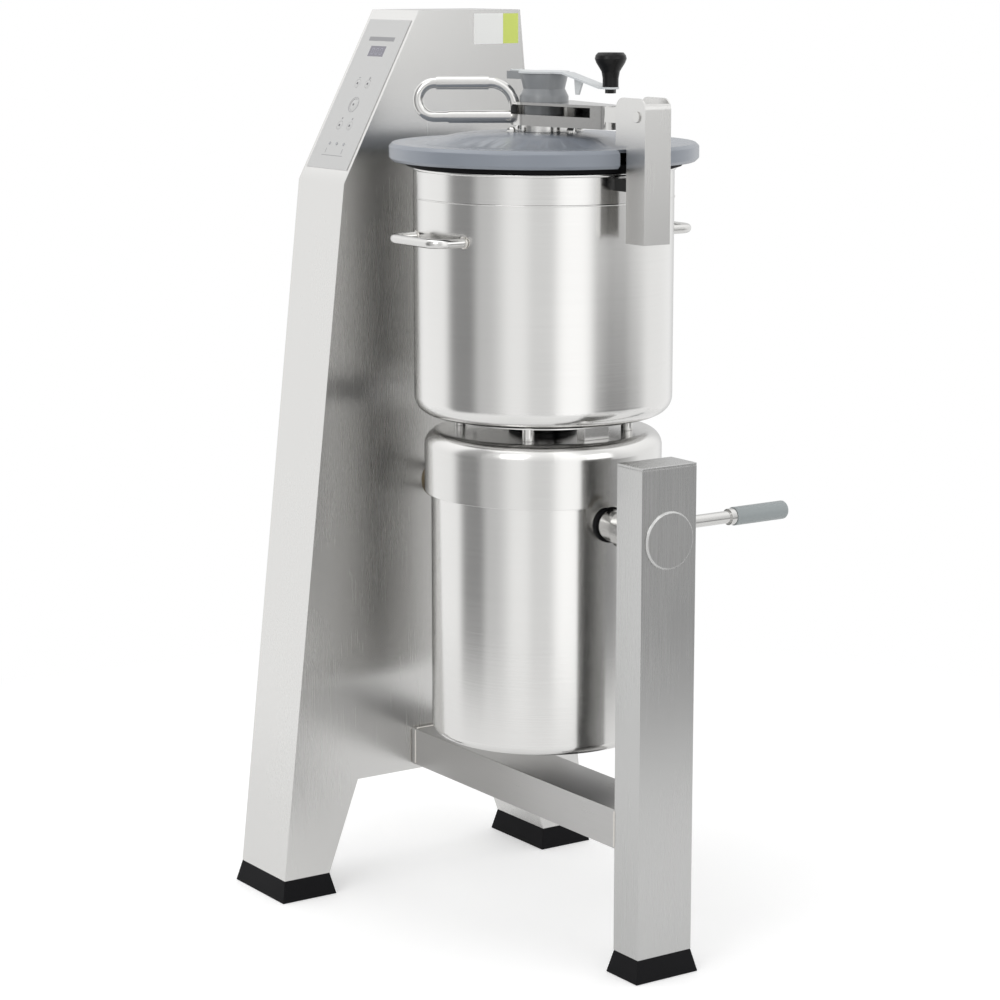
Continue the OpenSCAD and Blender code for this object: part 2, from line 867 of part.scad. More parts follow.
module motor_housing() {
    at_bowl() color("gainsboro") difference() {
        translate([0, 0, housing_z]) rotate_extrude() difference() {
            can_section(housing_r, seam_z - housing_z, housing_corner);
            translate([0, housing_wall])
                can_section(housing_r - housing_wall, seam_z - housing_z, housing_corner - housing_wall);
            translate([0, -cut]) square([housing_vent_r, housing_wall + 2 * cut]);
        }
        translate([-housing_r - cut, 0, pivot_z]) rotate([0, 90, 0])
            cylinder(r = trunnion_r, h = 2 * (housing_r + cut));
    }
}

// Ventilated plate screwed under the housing
module bottom_cover() {
    at_bowl() color("silver") translate([0, 0, housing_z - bottom_cover_t]) difference() {
        cylinder(r = bottom_cover_r, h = bottom_cover_t);
        for (i = [0 : vent_count - 1])
            rotate([0, 0, i * 360 / vent_count]) translate([vent_r0, -vent_w / 2, -cut])
                cube([vent_l, vent_w, bottom_cover_t + 2 * cut]);
    }
}

// Cap that closes the housing and carries the bowl
module housing_cap() {
    at_bowl() color("gainsboro") difference() {
        translate([0, 0, cap_z1]) mirror([0, 0, 1]) rotate_extrude() difference() {
            can_section(cap_r, cap_h, shoulder_r);
            translate([0, housing_wall])
                can_section(cap_r - housing_wall, cap_h - housing_wall - cap_web_t,
                    shoulder_r - housing_wall);
            translate([0, -cut]) square([collar_r - collar_wall, housing_wall + 2 * cut]);
            translate([0, -cut]) square([bearing_r, cap_h + 2 * cut]);
        }
        for (i = [0 : frame_bolt_count - 1])
            rotate([0, 0, i * 360 / frame_bolt_count]) translate([frame_bolt_pcd_r, 0, seam_z - cut])
                cylinder(r = frame_bolt_r, h = cap_web_t + 2 * cut);
    }
}

module motor_frame() {
    at_bowl() color("darkgray") difference() {
        union() {
            translate([0, 0, frame_z]) cylinder(r = frame_r, h = seam_z - frame_z);
            translate([0, 0, seam_z - frame_flange_t]) cylinder(r = frame_flange_r, h = frame_flange_t);
            for (i = [0 : fin_count * 3 - 1])
                rotate([0, 0, (i + 1 / 2) * 360 / (fin_count * 3)])
                    translate([frame_r - cut, -fin_t / 2, frame_z]) cube([fin_h + cut, fin_t, fin_span]);
        }
        translate([0, 0, frame_z + frame_shield_t])
            cylinder(r = frame_r - frame_wall, h = seam_z - frame_z);
        translate([0, 0, frame_z - cut]) cylinder(r = bearing_r, h = frame_shield_t + 2 * cut);
        for (i = [0 : frame_bolt_count - 1])
            rotate([0, 0, i * 360 / frame_bolt_count])
                translate([frame_bolt_pcd_r, 0, seam_z - frame_flange_t - cut])
                    cylinder(r = frame_bolt_r, h = frame_flange_t + 2 * cut);
    }
}

module stator() {
    at_bowl() translate([0, 0, stator_z]) {
        color("dimgray") difference() {
            cylinder(r = frame_r - frame_wall, h = stator_h);
            translate([0, 0, -cut]) cylinder(r = stator_in_r, h = stator_h + 2 * cut);
            for (i = [0 : slot_count - 1])
                rotate([0, 0, i * 360 / slot_count]) translate([stator_in_r + 2 * slot_r, 0, -cut])
                    cylinder(r = slot_r, h = stator_h + 2 * cut);
        }
        color("peru") for (z = [-winding_h, stator_h])
            translate([0, 0, z]) tube(winding_r, winding_r - winding_in_r, winding_h);
    }
}

// Ball bearing drawn as one ring, with a groove in each face between its races
module ball_bearing() {
    color("silver") difference() {
        cylinder(r = bearing_r, h = bearing_h);
        translate([0, 0, -cut]) cylinder(r = shaft_r + fit_gap, h = bearing_h + 2 * cut);
        translate([0, 0, -cut]) tube(bearing_r - bearing_race, ball_track, bearing_race / 2 + cut);
        translate([0, 0, bearing_h - bearing_race / 2])
            tube(bearing_r - bearing_race, ball_track, bearing_race);
    }
}

module upper_bearing() {
    at_bowl() translate([0, 0, seam_z]) ball_bearing();
}

module lower_bearing() {
    at_bowl() translate([0, 0, frame_z]) ball_bearing();
}

module frame_bolts() {
    at_bowl() color("gray") for (i = [0 : frame_bolt_count - 1])
        rotate([0, 0, i * 360 / frame_bolt_count]) translate([frame_bolt_pcd_r, 0, seam_z - frame_flange_t])
            mirror([0, 0, 1]) bolt(frame_bolt_r, frame_bolt_l, frame_bolt_r * bolt_head_share, frame_bolt_r);
}

// Trunnions: one hollow for the motor's leads on the column side, one solid on the post side
module trunnions() {
    at_pivot() color("silver") {
        rotate([0, -90, 0]) difference() {
            union() {
                translate([0, 0, housing_r - housing_wall])
                    cylinder(r = trunnion_r, h = trunnion_l);
                translate([0, 0, housing_r])
                    cylinder(r = trunnion_boss_r, h = column_reach - housing_r - air);
            }
            translate([0, 0, housing_r - 2 * housing_wall]) cylinder(r = trunnion_bore_r, h = column_reach);
        }
        rotate([0, 90, 0]) {
            translate([0, 0, housing_r - housing_wall])
                cylinder(r = trunnion_r, h = post_reach + bush_l - housing_r + housing_wall);
            translate([0, 0, housing_r]) cylinder(r = trunnion_boss_r, h = post_reach - housing_r - air);
        }
    }
}

// Rubber rings around both trunnions, shaped to the round housing
module trunnion_seals() {
    at_pivot() color("black") for (side = [-90, 90])
        rotate([0, side, 0]) difference() {
            cylinder(r = seal_r, h = housing_r + seal_t);
            cylinder(r = trunnion_boss_r, h = housing_r + seal_t + cut);
            rotate([0, -side, 0]) cylinder(r = housing_r, h = 2 * housing_r, center = true, $fn = fine);
        }
}

// Lever
module tilt_lever() {
    at_pivot() color("silver") translate([lever_x, 0, 0]) difference() {
        union() {
            rotate([-90, 0, 0]) cylinder(r = lever_rod_r, h = lever_reach - grip_round);
            translate([-lever_hub_l / 2, 0, 0]) rotate([0, 90, 0])
                cylinder(r = lever_hub_r, h = lever_hub_l);
            translate([0, lever_reach - lever_grip_l - lever_collar_l, 0]) rotate([-90, 0, 0])
                cylinder(r = lever_collar_r, h = lever_collar_l);
        }
        translate([-lever_hub_l, 0, 0]) rotate([0, 90, 0])
            cylinder(r = trunnion_boss_r, h = 2 * lever_hub_l);
    }
}

module lever_grip() {
    at_pivot() color("gray") translate([lever_x, lever_reach - lever_grip_l, 0]) rotate([-90, 0, 0])
        difference() {
            rotate_extrude() {
                square([lever_grip_r, lever_grip_l - grip_round]);
                square([lever_grip_r - grip_round, lever_grip_l]);
                translate([lever_grip_r - grip_round, lever_grip_l - grip_round]) circle(r = grip_round);
            }
            translate([0, 0, -cut]) cylinder(r = lever_rod_r, h = lever_grip_l - grip_round + cut);
        }
}

module shaft_collar() {
    at_bowl() color("black") translate([0, 0, cap_z1]) difference() {
        union() {
            cylinder(r = collar_r, h = collar_h - collar_step);
            cylinder(r = collar_r - collar_step, h = collar_h);
            translate([0, 0, -housing_wall]) cylinder(r = collar_r - collar_wall, h = housing_wall);
        }
        translate([0, 0, -housing_wall - cut])
            cylinder(r = shaft_r + collar_gap, h = collar_h + housing_wall + 2 * cut);
    }
}

// Pegs and one wide block on which the bowl stands
module bowl_supports() {
    at_bowl() color("silver") translate([0, 0, cap_z1]) {
        for (i = [0 : peg_count - 1])
            rotate([0, 0, 45 + i * 360 / peg_count]) translate([peg_ring_r, 0, 0])
                cylinder(r = peg_r, h = bowl_gap - air - foot_ring_h);
        translate([block_ring_r, -block_w / 2, 0]) cube([block_t, block_w, bowl_gap - air - foot_ring_h]);
    }
}

// Rotor

module motor_shaft() {
    at_bowl() color("silver") translate([0, 0, shaft_z0]) {
        cylinder(r = shaft_r, h = shaft_top_z - shaft_z0 - shaft_tip);
        translate([0, 0, shaft_top_z - shaft_z0 - shaft_tip])
            cylinder(r1 = shaft_r, r2 = shaft_r - shaft_tip, h = shaft_tip);
    }
}

module rotor_core() {
    at_bowl() color("dimgray") translate([0, 0, stator_z + (stator_h - rotor_h) / 2]) difference() {
        cylinder(r = rotor_r, h = rotor_h);
        translate([0, 0, -cut]) cylinder(r = shaft_r, h = rotor_h + 2 * cut);
    }
}

module cooling_fan() {
    at_bowl() color("gray") translate([0, 0, fan_z]) difference() {
        union() {
            cylinder(r = fan_r, h = fan_plate_t);
            cylinder(r = fan_hub_r, h = fan_h);
            for (i = [0 : fan_blades - 1])
                rotate([0, 0, i * 360 / fan_blades]) translate([fan_hub_r - cut, -fan_blade_t / 2, 0])
                    cube([fan_r - fan_hub_r - fan_blade_t, fan_blade_t, fan_h]);
        }
        translate([0, 0, -cut]) cylinder(r = shaft_r, h = fan_h + 2 * cut);
    }
}

// Bowl

module bowl_shell() {
    at_bowl() color("gainsboro") translate([0, 0, bowl_z]) rotate_extrude() difference() {
        union() {
            difference() {
                can_section(bowl_r, bowl_h, bowl_corner);
                translate([0, bowl_wall])
                    can_section(bowl_r - bowl_wall, bowl_h, bowl_corner - bowl_wall);
            }
            translate([bowl_r, bowl_h - rim_bead_r]) circle(r = rim_bead_r, $fn = 32);
            translate([bowl_r, bowl_h - level_line_drop]) circle(r = level_line_r, $fn = 24);
            square([chimney_r, chimney_h]);
            difference() {
                square([chimney_r + chimney_foot_r, bowl_wall + chimney_foot_r]);
                translate([chimney_r + chimney_foot_r, bowl_wall + chimney_foot_r])
                    circle(r = chimney_foot_r, $fn = 48);
            }
            translate([foot_ring_r - foot_ring_w, -foot_ring_h])
                square([foot_ring_w, foot_ring_h + bowl_wall]);
            translate([peg_ring_r - foot_ring_w, -foot_ring_h])
                square([2 * foot_ring_w, foot_ring_h + bowl_wall]);
        }
        translate([-bowl_r, -bowl_h]) square([bowl_r, 2 * bowl_h + chimney_h]);
        translate([0, -cut]) square([chimney_r - chimney_wall, chimney_h + 2 * cut]);
    }
}

module bowl_handle(side) {
    steps = [
        [handle_run, 90, handle_bend],
        [handle_span - 2 * handle_bend, 90, handle_bend],
        [handle_run, 0, 0]
    ];
    at_bowl() color("silver") difference() {
        rotate([0, 0, side]) translate([-handle_span / 2, handle_start, handle_z])
            rotate([-90, 0, 0]) bent_rod(steps, handle_d / 2);
        cylinder(r = bowl_r, h = column_top_z);
    }
}

module front_handle() {
    bowl_handle(180);
}

module rear_handle() {
    bowl_handle(0);
}

// Block on the bowl's rim that carries the hinge bracket
module hinge_mount() {
    at_bowl() color("black") difference() {
        translate([0, -mount_w / 2, rim_z - mount_drop - mount_h])
            cube([bracket_x1 - bracket_t, mount_w, mount_h]);
        cylinder(r = bowl_r, h = column_top_z);
        translate([bracket_x1 - mount_bolt_l, 0, rim_z - mount_drop - mount_h / 2]) rotate([0, 90, 0])
            cylinder(r = mount_bolt_r, h = mount_bolt_l);
    }
}

// Side view of the bracket's flanges: a tall plate with an ear over the lid's ring
module bracket_side() {
    difference() {
        union() {
            translate([bracket_x0, bracket_z0]) square([bracket_x1 - bracket_x0, ear_z0 - bracket_z0]);
            translate([bracket_ear_x0, ear_z0]) square([bracket_x1 - bracket_ear_x0, bracket_z1 - ear_z0]);
        }
        difference() {
            translate([bracket_ear_x0 - cut, bracket_z1 - bracket_fillet])
                square([bracket_fillet + cut, bracket_fillet + cut]);
            translate([bracket_ear_x0 + bracket_fillet, bracket_z1 - bracket_fillet])
                circle(r = bracket_fillet);
        }
        difference() {
            translate([bracket_x1 - bracket_fillet, bracket_z1 - bracket_fillet])
                square([bracket_fillet + cut, bracket_fillet + cut]);
            translate([bracket_x1 - bracket_fillet, bracket_z1 - bracket_fillet])
                circle(r = bracket_fillet);
        }
    }
}

module hinge_bracket() {
    at_bowl() color("lightgray") {
        difference() {
            across_y(bracket_w) bracket_side();
            translate([bracket_ear_x0 - cut, -bracket_w / 2 + bracket_t, bracket_z0 - cut])
                cube([bracket_x1 - bracket_t - bracket_ear_x0 + cut, bracket_w - 2 * bracket_t,
                    bracket_z1 - bracket_z0 + 2 * cut]);
            translate([pin_x, -bracket_w, pin_z]) rotate([-90, 0, 0])
                cylinder(r = pin_r, h = 2 * bracket_w);
            translate([bracket_x1 - bracket_t - cut, 0, rim_z - mount_drop - mount_h / 2]) rotate([0, 90, 0])
                cylinder(r = mount_bolt_r, h = bracket_t + 2 * cut);
        }
        translate([bracket_x1 - mount_bolt_l, 0, rim_z - mount_drop - mount_h / 2]) rotate([0, 90, 0])
            cylinder(r = mount_bolt_r, h = mount_bolt_l);
    }
}

module hinge_pin() {
    at_bowl() color("silver") translate([pin_x, -(bracket_w + pin_head_t) / 2, pin_z]) rotate([-90, 0, 0]) {
        cylinder(r = pin_r, h = bracket_w + pin_head_t / 2);
        translate([0, 0, bracket_w + pin_head_t / 2]) cylinder(r = pin_head_r, h = pin_head_t);
        cylinder(r = pin_r + pin_clip_w, h = pin_head_t / 2);
    }
}

// Blades

module blade_hub() {
    at_bowl() color("silver") difference() {
        union() {
            translate([0, 0, hub_z0]) cylinder(r = hub_r, h = hub_top_z - hub_z0);
            for (level = [0, 1])
                translate([0, 0, lower_blade_z + level * blade_pitch - blade_ring_h])
                    cylinder(r = blade_ring_r, h = blade_ring_h);
        }
        translate([0, 0, hub_z0 - cut]) cylinder(r = hub_in_r, h = bowl_z + chimney_h + air - hub_z0 + cut);
        translate([0, 0, hub_z0]) cylinder(r = shaft_r + fit_gap, h = shaft_top_z + air - hub_z0);
    }
}

// Sickle blade in plan: a wide root on the hub that sweeps back to a narrow tip
module sickle(r) {
    mid = (r + hub_r) / 2;
    intersection() {
        difference() {
            translate([mid - hub_r, -blade_sweep]) circle(r = mid);
            translate([mid - hub_r, -blade_sweep - blade_root_w]) circle(r = mid + blade_tip_w / 3);
        }
        circle(r = r);
        translate([0, -r]) square([r, 2 * r]);
    }
}

module blade_set() {
    at_bowl() color("whitesmoke") difference() {
        for (level = [0, 1], half = [0, 180])
            translate([0, 0, lower_blade_z + level * blade_pitch]) rotate([0, 0, half + level * 90])
                linear_extrude(height = blade_t) union() {
                    sickle(blade_r);
                    circle(r = blade_ring_r);
                }
        translate([0, 0, hub_z0]) cylinder(r = hub_r, h = hub_top_z - hub_z0);
    }
}

// Winged nut on top of the hub, used to lift the blades out
module hub_nut() {
    at_bowl() color("dimgray") translate([0, 0, hub_top_z]) {
        cylinder(r = nut_r, h = nut_h);
        for (side = [0, 180])
            rotate([0, 0, side]) translate([nut_r - nut_wing_t, -nut_wing_t / 2, 0])
                cube([nut_wing_l - nut_r + nut_wing_t, nut_wing_t, nut_h + nut_wing_t]);
    }
}

// Lid

// Half section of the lid: bevelled ring, low dome and flat crown
module lid_section(inner) {
    t = inner ? lid_wall : 0;
    b = inner ? 0 : ring_bevel;
    r = lid_r - t;
    polygon([
        [0, ring_z - (inner ? cut : 0)],
        [r - b, ring_z - (inner ? cut : 0)],
        [r, ring_z + b],
        [r, ring_top_z - t - ring_bevel],
        [r - ring_bevel, ring_top_z - t],
        [ring_inner_r, ring_top_z - t],
        [(ring_inner_r + dome_top_r) / 2, ring_top_z - t + dome_rise * dome_share],
        [dome_top_r, dome_top_z - t],
        [0, dome_top_z - t]
    ]);
}

module lid_shell() {
    at_bowl() color("slategray") difference() {
        rotate_extrude() difference() {
            lid_section(false);
            lid_section(true);
        }
        translate([bracket_ear_x0 + notch_gap, -bracket_w / 2 - notch_gap, ring_z - cut])
            cube([lid_r, bracket_w + 2 * notch_gap, ring_h + 2 * cut]);
        translate([0, 0, ring_z]) cylinder(r = chute_pipe_r, h = ring_h + dome_rise + cut);
    }
}

// Rubber ring between the lid and the bowl's rim
module lid_seal() {
    at_bowl() color("black") difference() {
        union() {
            translate([0, 0, rim_z + air]) tube(seal_ring_r, seal_ring_w, ring_z - rim_z - air);
            translate([0, 0, ring_z])
                tube(lid_r - lid_wall, lid_r - lid_wall - seal_ring_r + seal_ring_w, lid_wall);
        }
        translate([bracket_ear_x0 + notch_gap, -bracket_w / 2 - notch_gap, rim_z])
            cube([lid_r, bracket_w + 2 * notch_gap, ring_h]);
    }
}

module lid_boss() {
    at_bowl() color("silver") translate([0, 0, dome_top_z])
        tube(chute_base_r, chute_base_r - chute_pipe_r, boss_h);
}

// Bridge in plan, from the chute to the hinge arm
module bridge_plan(shrink) {
    teardrop(bridge_r - shrink, bridge_end_r - shrink / 2, bridge_end_x);
}

// Solid outline of the bridge: its nose around the chute has a rounded upper edge
module bridge_body() {
    translate([0, 0, bridge_top_z]) mirror([0, 0, 1]) rotate_extrude()
        intersection() {
            can_section(bridge_r, bridge_h, bridge_nose_r);
            square([bridge_r, bridge_h]);
        }
    intersection() {
        translate([0, 0, bridge_z]) linear_extrude(height = bridge_h) bridge_plan(0);
        translate([0, -bridge_r, bridge_z]) cube([bridge_end_x + bridge_end_r, 2 * bridge_r, bridge_h]);
    }
}

module lid_bridge() {
    at_bowl() color("silver") difference() {
        union() {
            bridge_body();
            translate([bridge_end_x, -arm_w / 2, pin_z - arm_h / 2])
                cube([pin_x - bridge_end_x, arm_w, arm_h]);
            translate([pin_x, -arm_w / 2, pin_z]) rotate([-90, 0, 0]) cylinder(r = arm_h / 2, h = arm_w);
        }
        difference() {
            translate([0, 0, bridge_z + bridge_bar_h])
                linear_extrude(height = bridge_h - bridge_bar_h - bridge_strap_t) bridge_plan(bridge_wall_t);
            translate([window_x1, -bridge_r, bridge_z]) cube([bridge_r * 2, 2 * bridge_r, bridge_h]);
        }
        translate([window_x0, -bridge_r - cut, bridge_z + bridge_bar_h])
            cube([window_x1 - window_x0, bridge_r, bridge_h - bridge_bar_h - bridge_strap_t]);
        translate([0, 0, bridge_z - cut]) cylinder(r = chute_pipe_r, h = bridge_h + 2 * cut);
        translate([pin_x, -arm_w, pin_z]) rotate([-90, 0, 0]) cylinder(r = pin_r + fit_gap, h = 2 * arm_w);
    }
}

// Funnel that stands on the bridge and drops through the lid
module feed_chute() {
    z0 = bridge_top_z;
    neck_z = z0 + chute_h * chute_neck_share;
    rim_z0 = z0 + chute_h * chute_rim_share;
    pipe_z0 = ring_top_z - chute_drop;
    lug_h = 2 * flap_knuckle_r;
    at_bowl() color("gray") {
        rotate_extrude() difference() {
            union() {
                polygon([
                    [0, z0], [chute_base_r, z0], [chute_base_r, z0 + chute_base_h],
                    [chute_neck_r, neck_z], [chute_r, rim_z0], [chute_r, chute_z1], [0, chute_z1]
                ]);
                translate([0, pipe_z0]) square([chute_pipe_r, z0 - pipe_z0]);
            }
            translate([0, pipe_z0 - cut]) square([chute_bore_r, neck_z - pipe_z0 + cut]);
            polygon([
                [0, neck_z - cut], [chute_bore_r, neck_z - cut],
                [chute_r - chute_lip, chute_z1 + cut], [0, chute_z1 + cut]
            ]);
        }
        difference() {
            for (side = [-1, 1])
                translate([flap_lug_x - flap_knuckle_r, (side * flap_lug_w - flap_tab_t) / 2,
                    chute_z1 - lug_h])
                    cube([lug_h - flap_lug_x - chute_r, flap_tab_t, lug_h + flap_pin_z]);
            cylinder(r = chute_r - chute_lip, h = column_top_z);
            translate([0, 0, chute_z1]) cylinder(r = flap_r + flap_t, h = lug_h);
        }
        translate([flap_lug_x, 0, chute_z1 + flap_pin_z - flap_pin_r]) rotate([90, 0, 0])
            cylinder(r = flap_pin_r, h = flap_lug_w, center = true);
    }
}

// Cover

module chute_cover() {
    z0 = chute_z1 + air;
    arm_z = z0 - flap_arm_drop;
    at_bowl() color("lightgray") difference() {
        union() {
            translate([0, 0, z0]) cylinder(r = flap_r, h = flap_t);
            translate([flap_lug_x, -flap_lug_w / 2 + flap_tab_t, z0])
                cube([-flap_lug_x, flap_lug_w - 2 * flap_tab_t, flap_t]);
            translate([flap_lug_x, 0, chute_z1 + flap_pin_z - flap_pin_r]) rotate([90, 0, 0])
                cylinder(r = flap_knuckle_r, h = flap_lug_w - 2 * flap_tab_t, center = true);
            across_y(flap_arm_w) polygon([
                [flap_tab_l, z0],
                [flap_bend_x, z0],
                [flap_foot_x, arm_z],
                [flap_arm_x, arm_z],
                [flap_arm_x, arm_z + flap_t],
                [flap_foot_x, arm_z + flap_t],
                [flap_bend_x, z0 + flap_t],
                [flap_tab_l, z0 + flap_t]
            ]);
            translate([flap_arm_x, 0, arm_z]) cylinder(r = flap_pad_r, h = flap_t);
            across_y(flap_tab_t) polygon([
                [flap_tab_x, z0 - flap_t],
                [flap_tab_x + flap_tab_l, z0 - 2.2 * flap_t],
                [flap_tab_x + flap_tab_l / 2, z0 - flap_tab_h - flap_t],
                [flap_tab_x + flap_t, z0 - flap_tab_h - flap_t]
            ]);
        }
        translate([flap_lug_x, 0, chute_z1 + flap_pin_z - flap_pin_r]) rotate([90, 0, 0])
            cylinder(r = flap_pin_r + fit_gap, h = flap_lug_w, center = true);
        translate([flap_arm_x, 0, arm_z - flap_t])
            cylinder(r = knob_stud_r, h = 3 * flap_t);
    }
}

// Mushroom knob on the end of the cover's arm, with its stud and nut
module cover_knob() {
    at_bowl() color("black") translate([flap_arm_x, 0, chute_z1 + air - flap_arm_drop + flap_t]) {
        rotate_extrude() polygon([
            [0, 0],
            [knob_neck_r, 0],
            [knob_neck_r, knob_h * 0.25],
            [knob_neck_r * 1.15, knob_h * 0.45],
            [knob_r * 0.9, knob_h * 0.7],
            [knob_r, knob_h * 0.82],
            [knob_r * 0.95, knob_h * 0.92],
            [knob_r * 0.8, knob_h],
            [0, knob_h]
        ]);
        translate([0, 0, -flap_t - knob_nut_h]) cylinder(r = knob_stud_r, h = 2 * flap_t + knob_nut_h);
        translate([0, 0, -flap_t - knob_nut_h]) cylinder(r = knob_nut_r, h = knob_nut_h, $fn = hex);
    }
}

// Lid handle: runs out from the bridge, turns back over itself and returns above

module in_loop() {
    at_bowl() translate([0, 0, loop_z]) rotate([0, 0, loop_turn]) translate([bridge_r - loop_bury, 0, 0])
        rotate([0, 90, 0]) children();
}

module lid_handle() {
    color("silver") difference() {
        in_loop() {
            bent_rod(loop_steps, loop_tube_r);
            cylinder(r = sleeve_r, h = loop_foot_l + sleeve_l);
        }
        at_bowl() bridge_body();
    }
}

// Sleeve that turns freely on the upper run of the lid handle
module roller_grip() {
    color("silver") in_loop()
        translate([-2 * loop_bend_r, 0, loop_run - (loop_top_l + grip_l) / 2])
        difference() {
            cylinder(r = grip_d / 2, h = grip_l);
            translate([0, 0, -cut]) cylinder(r = grip_in_r, h = grip_l + 2 * cut);
        }
}

column_shell();
rear_cover();
rear_cover_screws();
control_panel();
timer_display();
panel_lamps();
cross_beam();
beam_plate();
beam_bolts();
support_post();
post_cap();
pivot_cap();
column_feet();
post_foot();
foot_studs();
column_bush();
post_bush();
control_box();
drive_unit();
cable_gland();
minus_key();
plus_key();
pulse_key();
start_key();
stop_key();
motor_housing();
bottom_cover();
housing_cap();
motor_frame();
stator();
upper_bearing();
lower_bearing();
frame_bolts();
trunnions();
trunnion_seals();
tilt_lever();
lever_grip();
shaft_collar();
bowl_supports();
motor_shaft();
rotor_core();
cooling_fan();
bowl_shell();
front_handle();
rear_handle();
hinge_mount();
hinge_bracket();
hinge_pin();
blade_hub();
blade_set();
hub_nut();
lid_shell();
lid_seal();
lid_boss();
lid_bridge();
feed_chute();
lid_handle();
chute_cover();
cover_knob();
roller_grip();
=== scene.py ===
# Looks of a vertical cutter mixer: materials, small details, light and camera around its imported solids.
# Metres, +Z up, in the part's own frame.
import math

import bmesh
import bpy
from mathutils import Matrix, Vector


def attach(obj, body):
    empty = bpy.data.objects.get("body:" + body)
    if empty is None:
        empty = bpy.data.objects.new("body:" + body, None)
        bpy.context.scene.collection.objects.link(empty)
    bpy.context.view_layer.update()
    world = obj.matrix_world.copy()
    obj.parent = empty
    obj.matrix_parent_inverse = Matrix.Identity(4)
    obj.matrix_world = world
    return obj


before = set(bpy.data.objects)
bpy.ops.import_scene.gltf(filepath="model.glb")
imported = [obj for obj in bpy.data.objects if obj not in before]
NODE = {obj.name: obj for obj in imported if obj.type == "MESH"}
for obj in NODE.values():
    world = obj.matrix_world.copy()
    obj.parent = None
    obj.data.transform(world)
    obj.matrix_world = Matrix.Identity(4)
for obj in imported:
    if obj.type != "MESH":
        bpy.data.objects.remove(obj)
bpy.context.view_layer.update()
MM = 0.001
# Centre line of the bowl, the blades and the motor
BOWL = Vector((0.059, 0.0, 0.0))

# Materials
NOISE_ROUGH = 0.55


class Graph:
    """Short calls for building a material's or the world's node tree."""

    def __init__(self, tree):
        self.tree = tree
        tree.nodes.clear()

    def add(self, kind, **values):
        n = self.tree.nodes.new(kind)
        for key, value in values.items():
            setattr(n, key, value)
        return n

    def link(self, a, b):
        self.tree.links.new(a, b)

    def math(self, op, a, b=None):
        n = self.add("ShaderNodeMath", operation=op)
        for i, v in enumerate((a, b)):
            if v is None:
                continue
            if isinstance(v, (int, float)):
                n.inputs[i].default_value = v
            else:
                self.link(v, n.inputs[i])
        return n.outputs[0]

    def spread(self, value, lo, hi, from_lo, from_hi):
        """Carries value from the span from_lo to from_hi over to lo to hi."""
        n = self.add("ShaderNodeMapRange")
        self.link(value, n.inputs["Value"])
        n.inputs["From Min"].default_value = from_lo
        n.inputs["From Max"].default_value = from_hi
        n.inputs["To Min"].default_value = lo
        n.inputs["To Max"].default_value = hi
        return n.outputs["Result"]

    def noise(self, coords, scale, detail):
        m = self.add("ShaderNodeMapping")
        m.inputs["Scale"].default_value = scale
        self.link(coords, m.inputs["Vector"])
        n = self.add("ShaderNodeTexNoise")
        n.inputs["Scale"].default_value = 1.0
        n.inputs["Detail"].default_value = detail
        n.inputs["Roughness"].default_value = NOISE_ROUGH
        self.link(m.outputs[0], n.inputs["Vector"])
        return n.outputs["Fac"]


# Noise per metre of a plain grain and of the broad clouds, and their finer levels
PLAIN_GRAIN = (900, 900, 900)
GRAIN_DETAIL = 4.0
CLOUDS = (6, 6, 4)
CLOUD_DETAIL = 2.0
# Share of each in their sum, and the span of that sum that is used
SHARE = 0.5
NOISE_SPAN = (0.3, 0.7)
BUMP_DEPTH = 0.0004
COAT_ROUGH = 0.15


def material(name, color, rough, metal, grain, bump, cloud, coat=0.0, ior=1.5):
    """Principled surface: grain stretches the fine noise along the brushing, cloud varies the colour."""
    mat = bpy.data.materials.new(name)
    mat.use_nodes = True
    g = Graph(mat.node_tree)
    out = g.add("ShaderNodeOutputMaterial")
    p = g.add("ShaderNodeBsdfPrincipled")
    g.link(p.outputs[0], out.inputs["Surface"])
    p.inputs["Metallic"].default_value = metal
    p.inputs["IOR"].default_value = ior
    p.inputs["Coat Weight"].default_value = coat
    p.inputs["Coat Roughness"].default_value = COAT_ROUGH
    coords = g.add("ShaderNodeTexCoord").outputs["Object"]
    fine = g.noise(coords, grain or PLAIN_GRAIN, GRAIN_DETAIL)
    broad = g.noise(coords, CLOUDS, CLOUD_DETAIL)
    ramp = g.add("ShaderNodeMix", data_type="RGBA")
    dark = [c * (1 - cloud) for c in color]
    pale = [min(1.0, c * (1 + cloud)) for c in color]
    ramp.inputs["A"].default_value = (*dark, 1)
    ramp.inputs["B"].default_value = (*pale, 1)
    mixed = g.math("ADD", g.math("MULTIPLY", fine, SHARE), g.math("MULTIPLY", broad, SHARE))
    g.link(g.spread(mixed, 0, 1, *NOISE_SPAN), ramp.inputs["Factor"])
    g.link(ramp.outputs["Result"], p.inputs["Base Color"])
    g.link(g.spread(mixed, *rough, *NOISE_SPAN), p.inputs["Roughness"])
    if bump:
        b = g.add("ShaderNodeBump")
        b.inputs["Strength"].default_value = bump
        b.inputs["Distance"].default_value = BUMP_DEPTH
        g.link(fine, b.inputs["Height"])
        g.link(b.outputs[0], p.inputs["Normal"])
    return mat


